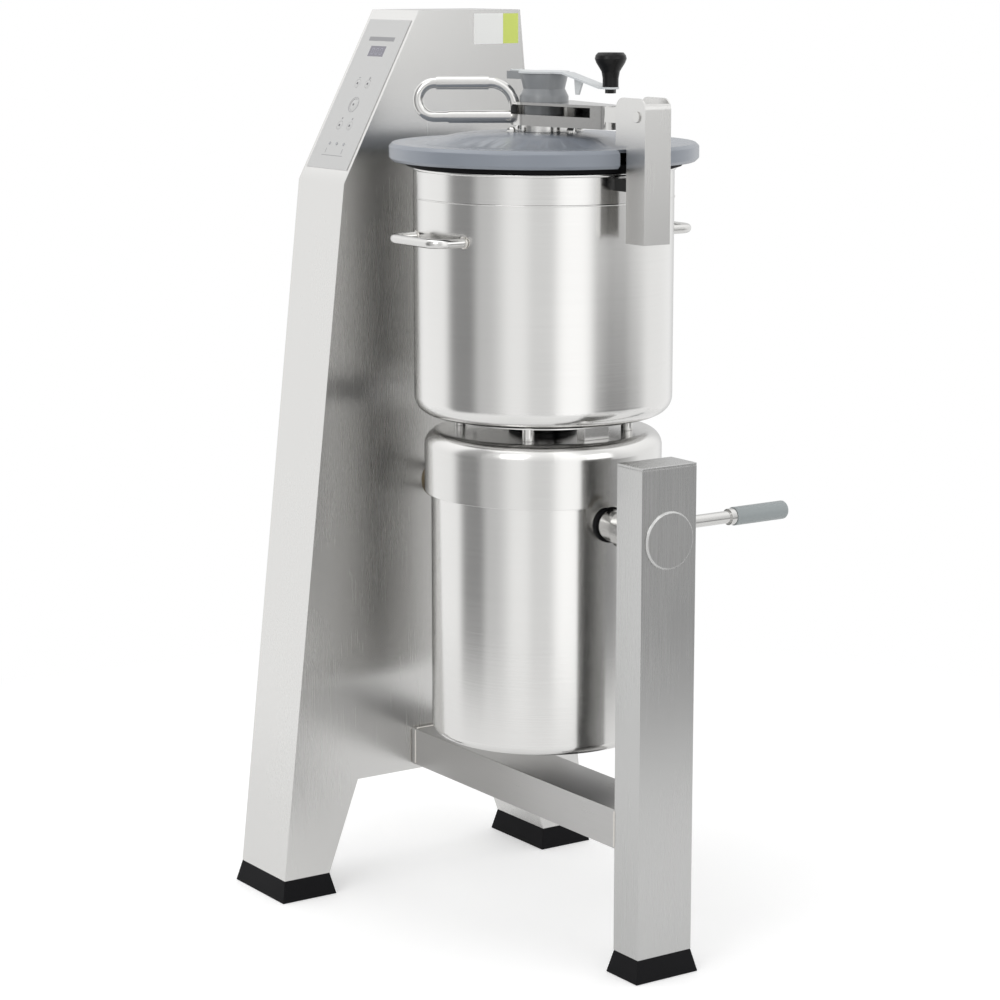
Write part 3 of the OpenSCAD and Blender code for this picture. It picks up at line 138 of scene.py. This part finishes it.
M = {
    # Sheet brushed up and down, as on the column
    "sheet": material("sheet_brushed_upright", (0.60, 0.596, 0.585), (0.23, 0.29), 1.0,
                      (700, 700, 9), 0.04, 0.02),
    # Sheet brushed round, as on the bowl and the housing
    "round": material("sheet_brushed_round", (0.63, 0.626, 0.615), (0.14, 0.20), 1.0,
                      (5, 5, 900), 0.06, 0.03),
    "cap": material("cap_brushed_round", (0.61, 0.606, 0.595), (0.15, 0.22), 1.0,
                    (5, 5, 300), 0.02, 0.02),
    "post": material("sheet_brushed_post", (0.47, 0.47, 0.465), (0.23, 0.30), 1.0,
                     (700, 700, 9), 0.04, 0.02),
    "beam": material("sheet_brushed_along", (0.44, 0.436, 0.43), (0.26, 0.34), 1.0,
                     (9, 700, 700), 0.05, 0.03),
    "polished": material("steel_polished", (0.56, 0.556, 0.545), (0.12, 0.22), 1.0,
                         (300, 300, 300), 0.02, 0.03),
    "machined": material("steel_machined", (0.55, 0.55, 0.55), (0.28, 0.40), 1.0,
                         (500, 500, 500), 0.05, 0.05),
    "weld": material("weld_bead", (0.60, 0.58, 0.55), (0.30, 0.45), 1.0,
                     (400, 400, 400), 0.5, 0.08),
    "cast": material("aluminium_cast", (0.60, 0.60, 0.61), (0.45, 0.6), 1.0,
                     (500, 500, 500), 0.5, 0.05),
    "iron": material("iron_laminated", (0.20, 0.20, 0.21), (0.5, 0.65), 0.8,
                     (40, 40, 2500), 0.3, 0.08),
    "bronze": material("bush_bronze", (0.24, 0.20, 0.14), (0.3, 0.45), 1.0,
                       (600, 600, 600), 0.05, 0.06),
    "panel": material("panel_film", (0.52, 0.52, 0.515), (0.36, 0.44), 0.0,
                      (1500, 1500, 1500), 0.03, 0.02),
    "mark": material("panel_mark", (0.10, 0.10, 0.11), (0.4, 0.5), 0.0,
                     None, 0.0, 0.02),
    "mark_soft": material("panel_mark_soft", (0.27, 0.27, 0.28), (0.4, 0.5), 0.0,
                          None, 0.0, 0.02),
    "display": material("display_window", (0.13, 0.125, 0.16), (0.12, 0.18), 0.0,
                        None, 0.0, 0.03, coat=0.5),
    "digit": material("display_digit", (0.30, 0.30, 0.36), (0.3, 0.4), 0.0,
                      None, 0.0, 0.03),
    "lamp": material("lamp_lens", (0.36, 0.37, 0.38), (0.15, 0.22), 0.0,
                     None, 0.0, 0.03, coat=0.5),
    "rubber": material("rubber_black", (0.006, 0.006, 0.007), (0.55, 0.72), 0.0,
                       (900, 900, 900), 0.25, 0.20, ior=1.2),
    "black": material("plastic_black", (0.004, 0.004, 0.004), (0.26, 0.36), 0.0,
                      (1200, 1200, 1200), 0.06, 0.15, ior=1.3),
    "grip": material("plastic_grip_grey", (0.31, 0.34, 0.345), (0.34, 0.44), 0.0,
                     (1200, 1200, 1200), 0.08, 0.05),
    "lid": material("plastic_lid_blue_grey", (0.225, 0.248, 0.285), (0.20, 0.28), 0.0,
                    (900, 900, 900), 0.08, 0.05),
    "chute": material("plastic_chute_grey", (0.235, 0.245, 0.255), (0.28, 0.36), 0.0,
                      (900, 900, 900), 0.08, 0.05),
    # Painted shade: the bottom cover is made near black so that the beam's top face reflects it dark, not
    # for a paint of its own
    "under": material("bottom_cover_painted_shade", (0.035, 0.035, 0.037), (0.45, 0.6), 0.0,
                      (700, 700, 700), 0.1, 0.1),
    "cover": material("plastic_cover_light", (0.60, 0.62, 0.63), (0.28, 0.36), 0.0,
                      (900, 900, 900), 0.05, 0.03),
    "label_white": material("label_white", (0.90, 0.905, 0.88), (0.35, 0.45), 0.0,
                            None, 0.0, 0.02),
    "label_lime": material("label_lime", (0.66, 0.76, 0.16), (0.35, 0.45), 0.0,
                           None, 0.0, 0.03),
}

LOOK = {
    "sheet": "column_shell rear_cover hinge_bracket",
    "post": "support_post post_cap pivot_cap",
    "round": "motor_housing bowl_shell",
    "cap": "housing_cap",
    # The bottom cover wears the near-black painted shade
    "under": "bottom_cover",
    "beam": "cross_beam beam_plate",
    "polished": "rear_cover_screws trunnions tilt_lever bowl_supports motor_shaft"
                " front_handle rear_handle hinge_pin blade_hub blade_set lid_boss lid_bridge lid_handle"
                " roller_grip",
    "machined": "beam_bolts foot_studs upper_bearing lower_bearing frame_bolts",
    "cast": "motor_frame drive_unit",
    "iron": "stator rotor_core",
    "bronze": "column_bush post_bush",
    "panel": "control_panel minus_key plus_key pulse_key start_key stop_key",
    "display": "timer_display",
    "lamp": "panel_lamps",
    "rubber": "column_feet post_foot trunnion_seals lid_seal",
    "black": "control_box cable_gland shaft_collar hinge_mount hub_nut cover_knob cooling_fan",
    "grip": "lever_grip",
    "lid": "lid_shell",
    "chute": "feed_chute",
    "cover": "chute_cover",
}

# Rounding of the edges, in millimetres; the rest take EDGE
EDGE = 0.5
EDGES = {
    "column_shell": 1.2, "support_post": 1.4, "cross_beam": 1.2, "column_feet": 1.5, "post_foot": 1.5,
    "lid_shell": 1.0, "lid_bridge": 1.2, "chute_cover": 0.6, "hinge_bracket": 0.7, "post_cap": 0.8,
    "bowl_shell": 0.5, "motor_housing": 0.5, "housing_cap": 0.6, "lever_grip": 0.8, "shaft_collar": 1.2,
    "blade_set": 0.4, "control_panel": 0.3, "timer_display": 0.2, "panel_lamps": 0.1,
    "minus_key": 0.2, "plus_key": 0.2, "pulse_key": 0.2, "start_key": 0.2, "stop_key": 0.2,
}
UNROUNDED = {"stator", "rotor_core", "motor_frame", "upper_bearing", "lower_bearing", "drive_unit",
             "cooling_fan", "lid_handle", "front_handle", "rear_handle"}
SHARP = math.radians(32)
FLAT = math.radians(0.2)
WELD_GAP = 1e-6
BEVEL_STEPS = 3


def smooth_group():
    """Geometry nodes that shade smooth wherever faces meet at less than SHARP."""
    tree = bpy.data.node_groups.new("smooth_by_angle", "GeometryNodeTree")
    tree.interface.new_socket("Geometry", in_out="INPUT", socket_type="NodeSocketGeometry")
    tree.interface.new_socket("Geometry", in_out="OUTPUT", socket_type="NodeSocketGeometry")
    n, link = tree.nodes, tree.links.new
    into, out = n.new("NodeGroupInput"), n.new("NodeGroupOutput")
    faces = n.new("GeometryNodeSetShadeSmooth")
    faces.domain = "FACE"
    edges = n.new("GeometryNodeSetShadeSmooth")
    edges.domain = "EDGE"
    angle = n.new("GeometryNodeInputMeshEdgeAngle")
    test = n.new("FunctionNodeCompare")
    test.data_type = "FLOAT"
    test.operation = "LESS_THAN"
    test.inputs["B"].default_value = SHARP
    link(angle.outputs["Unsigned Angle"], test.inputs["A"])
    link(into.outputs[0], faces.inputs["Geometry"])
    link(faces.outputs[0], edges.inputs["Geometry"])
    link(test.outputs["Result"], edges.inputs["Shade Smooth"])
    link(edges.outputs[0], out.inputs[0])
    return tree


SMOOTH = smooth_group()


def finish_edges(obj, width):
    """Joins split corners, rounds the edges by width and smooths the shading."""
    weld = obj.modifiers.new("join", "WELD")
    weld.merge_threshold = WELD_GAP
    if width:
        flat = obj.modifiers.new("flats", "DECIMATE")
        flat.decimate_type = "DISSOLVE"
        flat.angle_limit = FLAT
        bevel = obj.modifiers.new("edges", "BEVEL")
        bevel.width = width * MM
        bevel.segments = BEVEL_STEPS
        bevel.limit_method = "ANGLE"
        bevel.angle_limit = SHARP
        bevel.use_clamp_overlap = True
    smooth = obj.modifiers.new("smooth", "NODES")
    smooth.node_group = SMOOTH
    if width:
        obj.modifiers.new("weighted", "WEIGHTED_NORMAL").keep_sharp = True


def wear(obj, mat):
    obj.data.materials.clear()
    obj.data.materials.append(mat)


for look, names in LOOK.items():
    for name in names.split():
        node = NODE[name]
        wear(node, M[look])
        finish_edges(node, 0 if name in UNROUNDED else EDGES.get(name, EDGE))

# Small pieces


def piece(name, bm, look, body, width=0.0):
    """Turns a bmesh into an object that rides on a body."""
    bmesh.ops.recalc_face_normals(bm, faces=bm.faces)
    mesh = bpy.data.meshes.new(name)
    bm.to_mesh(mesh)
    bm.free()
    obj = bpy.data.objects.new(name, mesh)
    bpy.context.scene.collection.objects.link(obj)
    wear(obj, M[look])
    finish_edges(obj, width)
    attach(obj, body)


def basis(origin, normal, up=Vector((0, 0, 1))):
    """Matrix whose Z is the normal and whose Y leans to up."""
    z = Vector(normal).normalized()
    x = up.cross(z).normalized()
    y = z.cross(x)
    return Matrix.Translation(origin) @ Matrix((x, y, z)).transposed().to_4x4()


def revolve(bm, profile, at, steps):
    """Adds a closed turned shape: profile is a list of (radius, height), at a matrix."""
    rings = []
    for r, h in profile:
        if r == 0:
            rings.append([bm.verts.new(at @ Vector((0, 0, h)))])
            continue
        rings.append([bm.verts.new(at @ Vector((r * math.cos(2 * math.pi * i / steps),
                                                r * math.sin(2 * math.pi * i / steps), h)))
                      for i in range(steps)])
    for a, b in zip(rings, rings[1:]):
        for i in range(steps):
            j = (i + 1) % steps
            if len(a) == 1:
                bm.faces.new((a[0], b[i], b[j]))
            elif len(b) == 1:
                bm.faces.new((a[i], a[j], b[0]))
            else:
                bm.faces.new((a[i], a[j], b[j], b[i]))


# Ripples round a welded ring, then those of a straight bead: depth, pitch and size of its ends
RING_RIPPLES = (9, 5)
BEAD_RIPPLE = 0.14
BEAD_PITCH = 2.1
BEAD_END = 0.2
BEAD_SIDES = 8
BEAD_UP = Vector((0.3, 0.2, 0.93))


def torus(bm, at, ring_r, tube_r, steps, sides, wobble=0.0):
    """Adds a ring of round section on the matrix's XY plane, rippled by wobble."""
    rings = []
    for i in range(steps):
        a = 2 * math.pi * i / steps
        ripple = math.sin(RING_RIPPLES[0] * a) * math.cos(RING_RIPPLES[1] * a)
        r = tube_r * (1 + wobble * ripple)
        rings.append([bm.verts.new(at @ Vector(((ring_r + r * math.cos(t)) * math.cos(a),
                                                (ring_r + r * math.cos(t)) * math.sin(a),
                                                r * math.sin(t))))
                      for t in (2 * math.pi * k / sides for k in range(sides))])
    for i in range(steps):
        for k in range(sides):
            bm.faces.new((rings[i][k], rings[(i + 1) % steps][k],
                          rings[(i + 1) % steps][(k + 1) % sides], rings[i][(k + 1) % sides]))


def in_metres(profile):
    return [(r * MM, h * MM) for r, h in profile]


def slab(bm, at, w, h, t):
    """Adds a plate w by h, t thick, whose back lies on the matrix's XY plane."""
    corners = [(-w / 2, -h / 2), (w / 2, -h / 2), (w / 2, h / 2), (-w / 2, h / 2)]
    low = [bm.verts.new(at @ Vector((x, y, 0))) for x, y in corners]
    high = [bm.verts.new(at @ Vector((x, y, t))) for x, y in corners]
    bm.faces.new(low[::-1])
    bm.faces.new(high)
    for i in range(4):
        j = (i + 1) % 4
        bm.faces.new((low[i], low[j], high[j], high[i]))


def bead(bm, points, r):
    """Adds a weld bead: a rippled tube along straight points."""
    rings = []
    count = len(points)
    for i, p in enumerate(points):
        d = (points[min(i + 1, count - 1)] - points[max(i - 1, 0)]).normalized()
        m = basis(p, d, BEAD_UP)
        rr = r * (1 + BEAD_RIPPLE * math.sin(i * BEAD_PITCH)) * (BEAD_END if i in (0, count - 1) else 1)
        rings.append([bm.verts.new(m @ Vector((rr * math.cos(2 * math.pi * k / BEAD_SIDES),
                                               rr * math.sin(2 * math.pi * k / BEAD_SIDES), 0)))
                      for k in range(BEAD_SIDES)])
    for a, b in zip(rings, rings[1:]):
        for k in range(BEAD_SIDES):
            bm.faces.new((a[k], a[(k + 1) % BEAD_SIDES], b[(k + 1) % BEAD_SIDES], b[k]))
    bm.faces.new(rings[0][::-1])
    bm.faces.new(rings[-1])


def line(a, b, step):
    """Points about step apart from a to b."""
    a, b = Vector(a), Vector(b)
    n = max(2, int((b - a).length / step))
    return [a.lerp(b, i / n) for i in range(n + 1)]


# Places and sizes of the small pieces are in millimetres
# The column's front leans back from its fold to its top edge: y and z of both
FOLD = (-170, 1137)
FRONT_TOP = (-31, 1400)
PANEL_X = -305
PANEL_SKIN = 1.0
LEAN = math.atan2(FRONT_TOP[0] - FOLD[0], FRONT_TOP[1] - FOLD[1])
PANEL_N = Vector((0, -math.cos(LEAN), math.sin(LEAN)))
PANEL_UP = Vector((0, math.sin(LEAN), math.cos(LEAN)))
PANEL_O = Vector((PANEL_X, *FOLD)) * MM + PANEL_N * PANEL_SKIN * MM
# Thickness of a printed mark, and of one that crosses another
INK = 0.12
INK_OVER = 0.13


def on_panel(x, s, lift=0.0):
    """Matrix at x across and s up the panel, lift off its skin."""
    return basis(PANEL_O + Vector((1, 0, 0)) * x * MM + PANEL_UP * s * MM + PANEL_N * lift * MM,
                 PANEL_N, PANEL_UP)


# Middle of each key: across the panel, and up from the fold
KEYS = {
    "minus_key": (-15, 168.3),
    "plus_key": (15, 168.3),
    "start_key": (-15, 95.7),
    "stop_key": (15, 95.7),
    "pulse_key": (0, 131.9),
}
SIGN_UP = 10
SIGN_W = 5
SIGN_T = 1.4
SQUARE_UP = 12
SQUARE_W = 3.2
RING_R = 12.6
RING_T = 0.35
RING_LIFT = 0.05
RING_STEPS = 40
RING_SIDES = 6


def panel_marks():
    """Minus and plus over the upper keys, a square over each lower key, a ring round the middle one."""
    bm = bmesh.new()
    for key in ("minus_key", "plus_key"):
        x, s = KEYS[key]
        slab(bm, on_panel(x, s + SIGN_UP), SIGN_W * MM, SIGN_T * MM, INK * MM)
    x, s = KEYS["plus_key"]
    slab(bm, on_panel(x, s + SIGN_UP), SIGN_T * MM, SIGN_W * MM, INK_OVER * MM)
    for key in ("start_key", "stop_key"):
        x, s = KEYS[key]
        slab(bm, on_panel(x, s + SQUARE_UP), SQUARE_W * MM, SQUARE_W * MM, INK * MM)
    torus(bm, on_panel(*KEYS["pulse_key"], RING_LIFT), RING_R * MM, RING_T * MM,
          RING_STEPS, RING_SIDES)
    piece("panel_marks", bm, "mark_soft", "frame")


# Line and two ticks under the lamps, and a plain bar over the display
RULE_UP = 44
RULE_W = 62
RULE_T = 0.9
TICK_X = 24
TICK_UP = 52
TICK_W = 1.2
TICK_H = 8
BAR_UP = 246
BAR_W = 74
BAR_H = 7


def panel_lines():
    bm = bmesh.new()
    slab(bm, on_panel(0, RULE_UP), RULE_W * MM, RULE_T * MM, INK * MM)
    for x in (-TICK_X, TICK_X):
        slab(bm, on_panel(x, TICK_UP), TICK_W * MM, TICK_H * MM, INK * MM)
    slab(bm, on_panel(0, BAR_UP), BAR_W * MM, BAR_H * MM, INK * MM)
    piece("panel_lines", bm, "mark_soft", "frame")


# Printed dot on each key: radius, and the heights of its back and face off the panel's skin
DOT_R = 2.0
DOT_BACK = 0.78
DOT_FACE = 0.9
DOT_STEPS = 20


def key_dot(key):
    bm = bmesh.new()
    profile = [(0, DOT_BACK), (DOT_R, DOT_BACK), (DOT_R, DOT_FACE), (0, DOT_FACE)]
    revolve(bm, in_metres(profile), on_panel(*KEYS[key]), DOT_STEPS)
    piece(key + "_dot", bm, "mark", key)


# Seven-segment zeros behind the display window
DIGITS = 3
DIGIT_PITCH = 12.0
DIGITS_UP = 224.716
SEGMENT_INK = 0.06
SEGMENT_T = 0.9
END_L = 5
END_UP = 5
SIDE_L = 4
SIDE_X = 3
SIDE_UP = 2.6


def display_digits():
    bm = bmesh.new()
    for i in range(DIGITS):
        across = (i - (DIGITS - 1) / 2) * DIGIT_PITCH
        for up in (END_UP, -END_UP):
            slab(bm, on_panel(across, DIGITS_UP + up), END_L * MM, SEGMENT_T * MM, SEGMENT_INK * MM)
        for up in (SIDE_UP, -SIDE_UP):
            for side in (-SIDE_X, SIDE_X):
                slab(bm, on_panel(across + side, DIGITS_UP + up), SEGMENT_T * MM, SIDE_L * MM,
                     SEGMENT_INK * MM)
    piece("display_digits", bm, "digit", "frame")


# Plain two-tone label on the column's inner face: middle (y, z), then width and height
INNER_X = -236
LABEL_T = 0.25
LABEL_EDGE = 0.08
LABEL_PLAIN = ((99.5, 1370.5), (55.2, 48))
LABEL_STRIP = ((141.8, 1370.5), (29, 47))


def label(name, look, middle, size):
    bm = bmesh.new()
    at = basis(Vector((INNER_X, *middle)) * MM, Vector((1, 0, 0)))
    slab(bm, at, size[0] * MM, size[1] * MM, LABEL_T * MM)
    piece(name, bm, look, "frame", LABEL_EDGE)


# Where the beam meets the post and its end plate, and the beads round it
BEAM_POST_X = 314
BEAM_PLATE_X = -230
BEAM_HALF = 49
BEAM_Z = (190, 250)
BEAM_CORNER = 2
BEAD_R = 1.7
BEAD_STEP = 2.2
BEAD_OUT = 0.6


def beam_weld(name, x, side):
    """Beads round the beam at x, on the side that it comes from."""
    bm = bmesh.new()
    x = (x + side * BEAD_OUT) * MM
    low = (BEAM_Z[0] + BEAM_CORNER) * MM
    high = (BEAM_Z[1] - BEAM_CORNER) * MM
    reach = (BEAM_HALF - BEAM_CORNER) * MM
    for y in (-BEAM_HALF * MM, BEAM_HALF * MM):
        bead(bm, line((x, y, low), (x, y, high), BEAD_STEP * MM), BEAD_R * MM)
    for z in BEAM_Z:
        bead(bm, line((x, -reach, z * MM), (x, reach, z * MM), BEAD_STEP * MM), BEAD_R * MM)
    piece(name, bm, "weld", "frame")


# Welds round the ends of the bowl's handles
BOWL_R = 195
HANDLE_HALF = 63
HANDLE_Z = 1075
HANDLE_LEAN = 0.14
ROD_WELD_R = 7.2
ROD_WELD_T = 1.7
ROD_WELD_OUT = 1.2
ROD_WELD_RIPPLE = 0.12
ROD_WELD_STEPS = 40
ROD_WELD_SIDES = 8


def handle_welds(name, side):
    bm = bmesh.new()
    y = math.sqrt(BOWL_R ** 2 - HANDLE_HALF ** 2) + ROD_WELD_OUT
    for x in (-HANDLE_HALF, HANDLE_HALF):
        at = basis(BOWL + Vector((x, side * y, HANDLE_Z)) * MM,
                   Vector((HANDLE_LEAN * x / HANDLE_HALF, side, 0)))
        torus(bm, at, ROD_WELD_R * MM, ROD_WELD_T * MM, ROD_WELD_STEPS, ROD_WELD_SIDES, ROD_WELD_RIPPLE)
    piece(name, bm, "weld", "bowl")


# Domed nuts and washers that hold the boss to the lid: places from the bowl's axis,
# profiles as radius and height
NUT_Z = 1226
NUTS = ((-50, -10), (-10, -52), (52, 12), (20, 50))
WASHER = [(0, -0.4), (8, -0.4), (8, 1.2), (0, 1.2)]
DOMED_NUT = [(0, 1.1), (6.2, 1.1), (6.2, 4.6), (5, 6.4), (2.6, 8), (0, 8.4)]
WASHER_STEPS = 32
NUT_SIDES = 6


def lid_nut(name, x, y):
    bm = bmesh.new()
    at = basis(BOWL + Vector((x, y, NUT_Z)) * MM, Vector((0, 0, 1)), Vector((0, 1, 0)))
    revolve(bm, in_metres(WASHER), at, WASHER_STEPS)
    revolve(bm, in_metres(DOMED_NUT), at, NUT_SIDES)
    piece(name, bm, "polished", "lid")


panel_marks()
panel_lines()
for key in KEYS:
    key_dot(key)
display_digits()
label("label_plain", "label_white", *LABEL_PLAIN)
label("label_strip", "label_lime", *LABEL_STRIP)
beam_weld("weld_beam_post", BEAM_POST_X, -1)
beam_weld("weld_beam_plate", BEAM_PLATE_X, 1)
handle_welds("front_handle_welds", -1)
handle_welds("rear_handle_welds", 1)
for i, (x, y) in enumerate(NUTS):
    lid_nut("lid_nut_%d" % i, x, y)

# Stage, light and camera
FLOOR_R = 2.3
FLOOR_STEPS = 96
FLOOR_DROP = 0.0005
FLOOR_COLOR = (0.80, 0.80, 0.80)
# How much brighter the camera and the steel see the floor
FLOOR_GLOW = 0.34
# Distances from the origin over which the camera sees the floor fade to white
FLOOR_FADE = (0.8, 1.8)
# Distances over which the steel sees the studio in place of the floor
GLOSS_REACH = (1.4, 2.2)


def floor_material():
    """Matt floor that keeps the object's shadow and fades to white away from it."""
    mat = bpy.data.materials.new("floor_pale")
    mat.use_nodes = True
    g = Graph(mat.node_tree)
    out = g.add("ShaderNodeOutputMaterial")
    diffuse = g.add("ShaderNodeBsdfDiffuse")
    diffuse.inputs["Color"].default_value = (*FLOOR_COLOR, 1)
    glow = g.add("ShaderNodeEmission")
    path = g.add("ShaderNodeLightPath")
    seen = g.math("MAXIMUM", path.outputs["Is Camera Ray"], path.outputs["Is Glossy Ray"])
    g.link(g.math("MULTIPLY", seen, FLOOR_GLOW), glow.inputs["Strength"])
    lit = g.add("ShaderNodeAddShader")
    g.link(diffuse.outputs[0], lit.inputs[0])
    g.link(glow.outputs[0], lit.inputs[1])
    white = g.add("ShaderNodeEmission")
    place = g.add("ShaderNodeSeparateXYZ")
    g.link(g.add("ShaderNodeTexCoord").outputs["Object"], place.inputs[0])
    reach = g.math("SQRT", g.math("ADD", g.math("MULTIPLY", place.outputs[0], place.outputs[0]),
                                  g.math("MULTIPLY", place.outputs[1], place.outputs[1])))
    shown = g.add("ShaderNodeMixShader")
    g.link(g.math("MULTIPLY", g.spread(reach, 0.0, 1.0, *FLOOR_FADE), path.outputs["Is Camera Ray"]),
           shown.inputs[0])
    g.link(lit.outputs[0], shown.inputs[1])
    g.link(white.outputs[0], shown.inputs[2])
    near = g.add("ShaderNodeMixShader")
    g.link(g.math("MULTIPLY", g.spread(reach, 0.0, 1.0, *GLOSS_REACH), path.outputs["Is Glossy Ray"]),
           near.inputs[0])
    g.link(shown.outputs[0], near.inputs[1])
    g.link(g.add("ShaderNodeBsdfTransparent").outputs[0], near.inputs[2])
    g.link(near.outputs[0], out.inputs["Surface"])
    return mat


def pale_floor():
    bm = bmesh.new()
    bmesh.ops.create_circle(bm, cap_ends=True, segments=FLOOR_STEPS, radius=FLOOR_R)
    mesh = bpy.data.meshes.new("floor")
    bm.to_mesh(mesh)
    bm.free()
    floor = bpy.data.objects.new("floor", mesh)
    floor.location = (0, 0, -FLOOR_DROP)
    floor.data.materials.append(floor_material())
    bpy.context.scene.collection.objects.link(floor)


pale_floor()

# Soft boxes as the steel sees them: azimuth in degrees from +X, half width, softness and strength
BASE_GLOSS = 0.98
BOXES = [
    (-150, 22, 8, 0.27),
    (-113, 12, 8, -0.62),
    (-90, 9, 9, -0.22),
    (-59, 6, 9, 0.24),
    (-8, 13, 8, 0.56),
    (20, 5, 7, -0.10),
    (34, 6, 8, -0.14),
    (85, 30, 14, 0.20),
    (150, 24, 14, -0.24),
]
# The studio's far end is dark in a band below the horizon: azimuth, half width, softness, strength
FAR_END = (38, 24, 10, -0.56)
# Upward slope of the rays at which that band begins and ends
BAND_TOP = (-0.09, -0.16)
BAND_FOOT = (-0.25, -0.29)
# The sky overhead is brighter than the walls: upward slope and the strength that it adds
SKY_SLOPE = (0.05, 0.9)
SKY = (0.0, 0.35)
# A soft box is full over at least this half angle, in degrees
LEAST_CORE = 0.5
# Keeps the level length of an upright ray above zero
UPRIGHT = 1e-5
# Level of the light on matt surfaces, and of the background
PLAIN = 0.80
BACKGROUND = 1.0


def soft_box(g, ray, azimuth, half, soft):
    """1 inside half degrees of an azimuth, fading to 0 over soft degrees; ray is x, y and level length."""
    x, y, length = ray
    a = math.radians(azimuth)
    dot = g.math("ADD", g.math("MULTIPLY", x, math.cos(a)), g.math("MULTIPLY", y, math.sin(a)))
    m = g.add("ShaderNodeMapRange", interpolation_type="SMOOTHSTEP")
    g.link(g.math("DIVIDE", dot, length), m.inputs["Value"])
    m.inputs["From Min"].default_value = math.cos(math.radians(half + soft))
    m.inputs["From Max"].default_value = math.cos(math.radians(max(half - soft, LEAST_CORE)))
    return m.outputs["Result"]


def studio_world():
    world = bpy.data.worlds.new("studio")
    bpy.context.scene.world = world
    world.use_nodes = True
    g = Graph(world.node_tree)
    out = g.add("ShaderNodeOutputWorld")
    back = g.add("ShaderNodeBackground")
    back.inputs["Color"].default_value = (1, 1, 1, 1)
    axes = g.add("ShaderNodeSeparateXYZ")
    g.link(g.add("ShaderNodeTexCoord").outputs["Generated"], axes.inputs[0])
    x, y, z = axes.outputs
    length = g.math("SQRT", g.math("ADD", g.math("MULTIPLY", x, x),
                                   g.math("ADD", g.math("MULTIPLY", y, y), UPRIGHT)))
    ray = (x, y, length)
    total = BASE_GLOSS
    for azimuth, half, soft, strength in BOXES:
        total = g.math("ADD", g.math("MULTIPLY", soft_box(g, ray, azimuth, half, soft), strength), total)
    band = g.math("SUBTRACT", g.spread(z, 0.0, 1.0, *BAND_TOP), g.spread(z, 0.0, 1.0, *BAND_FOOT))
    far = g.math("MULTIPLY", g.math("MULTIPLY", band, FAR_END[3]), soft_box(g, ray, *FAR_END[:3]))
    total = g.math("ADD", far, total)
    total = g.math("ADD", total, g.spread(z, *SKY, *SKY_SLOPE))
    path = g.add("ShaderNodeLightPath")
    glossy = path.outputs["Is Glossy Ray"]
    camera_ray = path.outputs["Is Camera Ray"]
    matt = g.math("MULTIPLY", g.math("SUBTRACT", 1.0, glossy), PLAIN)
    lit = g.math("ADD", g.math("MULTIPLY", glossy, total), matt)
    level = g.math("ADD", g.math("MULTIPLY", g.math("SUBTRACT", 1.0, camera_ray), lit),
                   g.math("MULTIPLY", camera_ray, BACKGROUND))
    g.link(level, back.inputs["Strength"])
    g.link(back.outputs[0], out.inputs["Surface"])


studio_world()

# Soft lamps: place, what they face, size in metres and power in watts
LAMPS = {
    "key_soft": ((1.6, -3.4, 2.9), (0, 0, 0.7), (1.6, 2.2), 26),
    "fill_soft": ((3.6, 1.4, 2.2), (0, 0, 0.8), (1.8, 2.2), 14),
    "top_soft": ((-0.4, -0.6, 3.6), (0, 0, 0.7), (2.4, 2.4), 18),
}


def soft_lamp(name, place, target, size, power):
    data = bpy.data.lights.new(name, "AREA")
    data.shape = "RECTANGLE"
    data.size, data.size_y = size
    data.energy = power
    obj = bpy.data.objects.new(name, data)
    obj.location = place
    obj.rotation_euler = (Vector(target) - Vector(place)).to_track_quat("-Z", "Y").to_euler()
    bpy.context.scene.collection.objects.link(obj)


for name, values in LAMPS.items():
    soft_lamp(name, *values)

# Camera fitted to the photograph
EYE = Vector((3.53552, -2.44209, 1.46987))
AZIMUTH = math.radians(55.7956)
PITCH = math.radians(10.69)
LENS = 102.09
SENSOR = 36.0
VIEW_END = 60.0


def photo_camera():
    data = bpy.data.cameras.new("photo_camera")
    data.lens = LENS
    data.sensor_width = SENSOR
    data.clip_end = VIEW_END
    camera = bpy.data.objects.new("photo_camera", data)
    camera.location = EYE
    camera.rotation_euler = (math.pi / 2 - PITCH, 0.0, AZIMUTH)
    bpy.context.scene.collection.objects.link(camera)
    bpy.context.scene.camera = camera


photo_camera()
bpy.context.scene.view_settings.view_transform = "Standard"
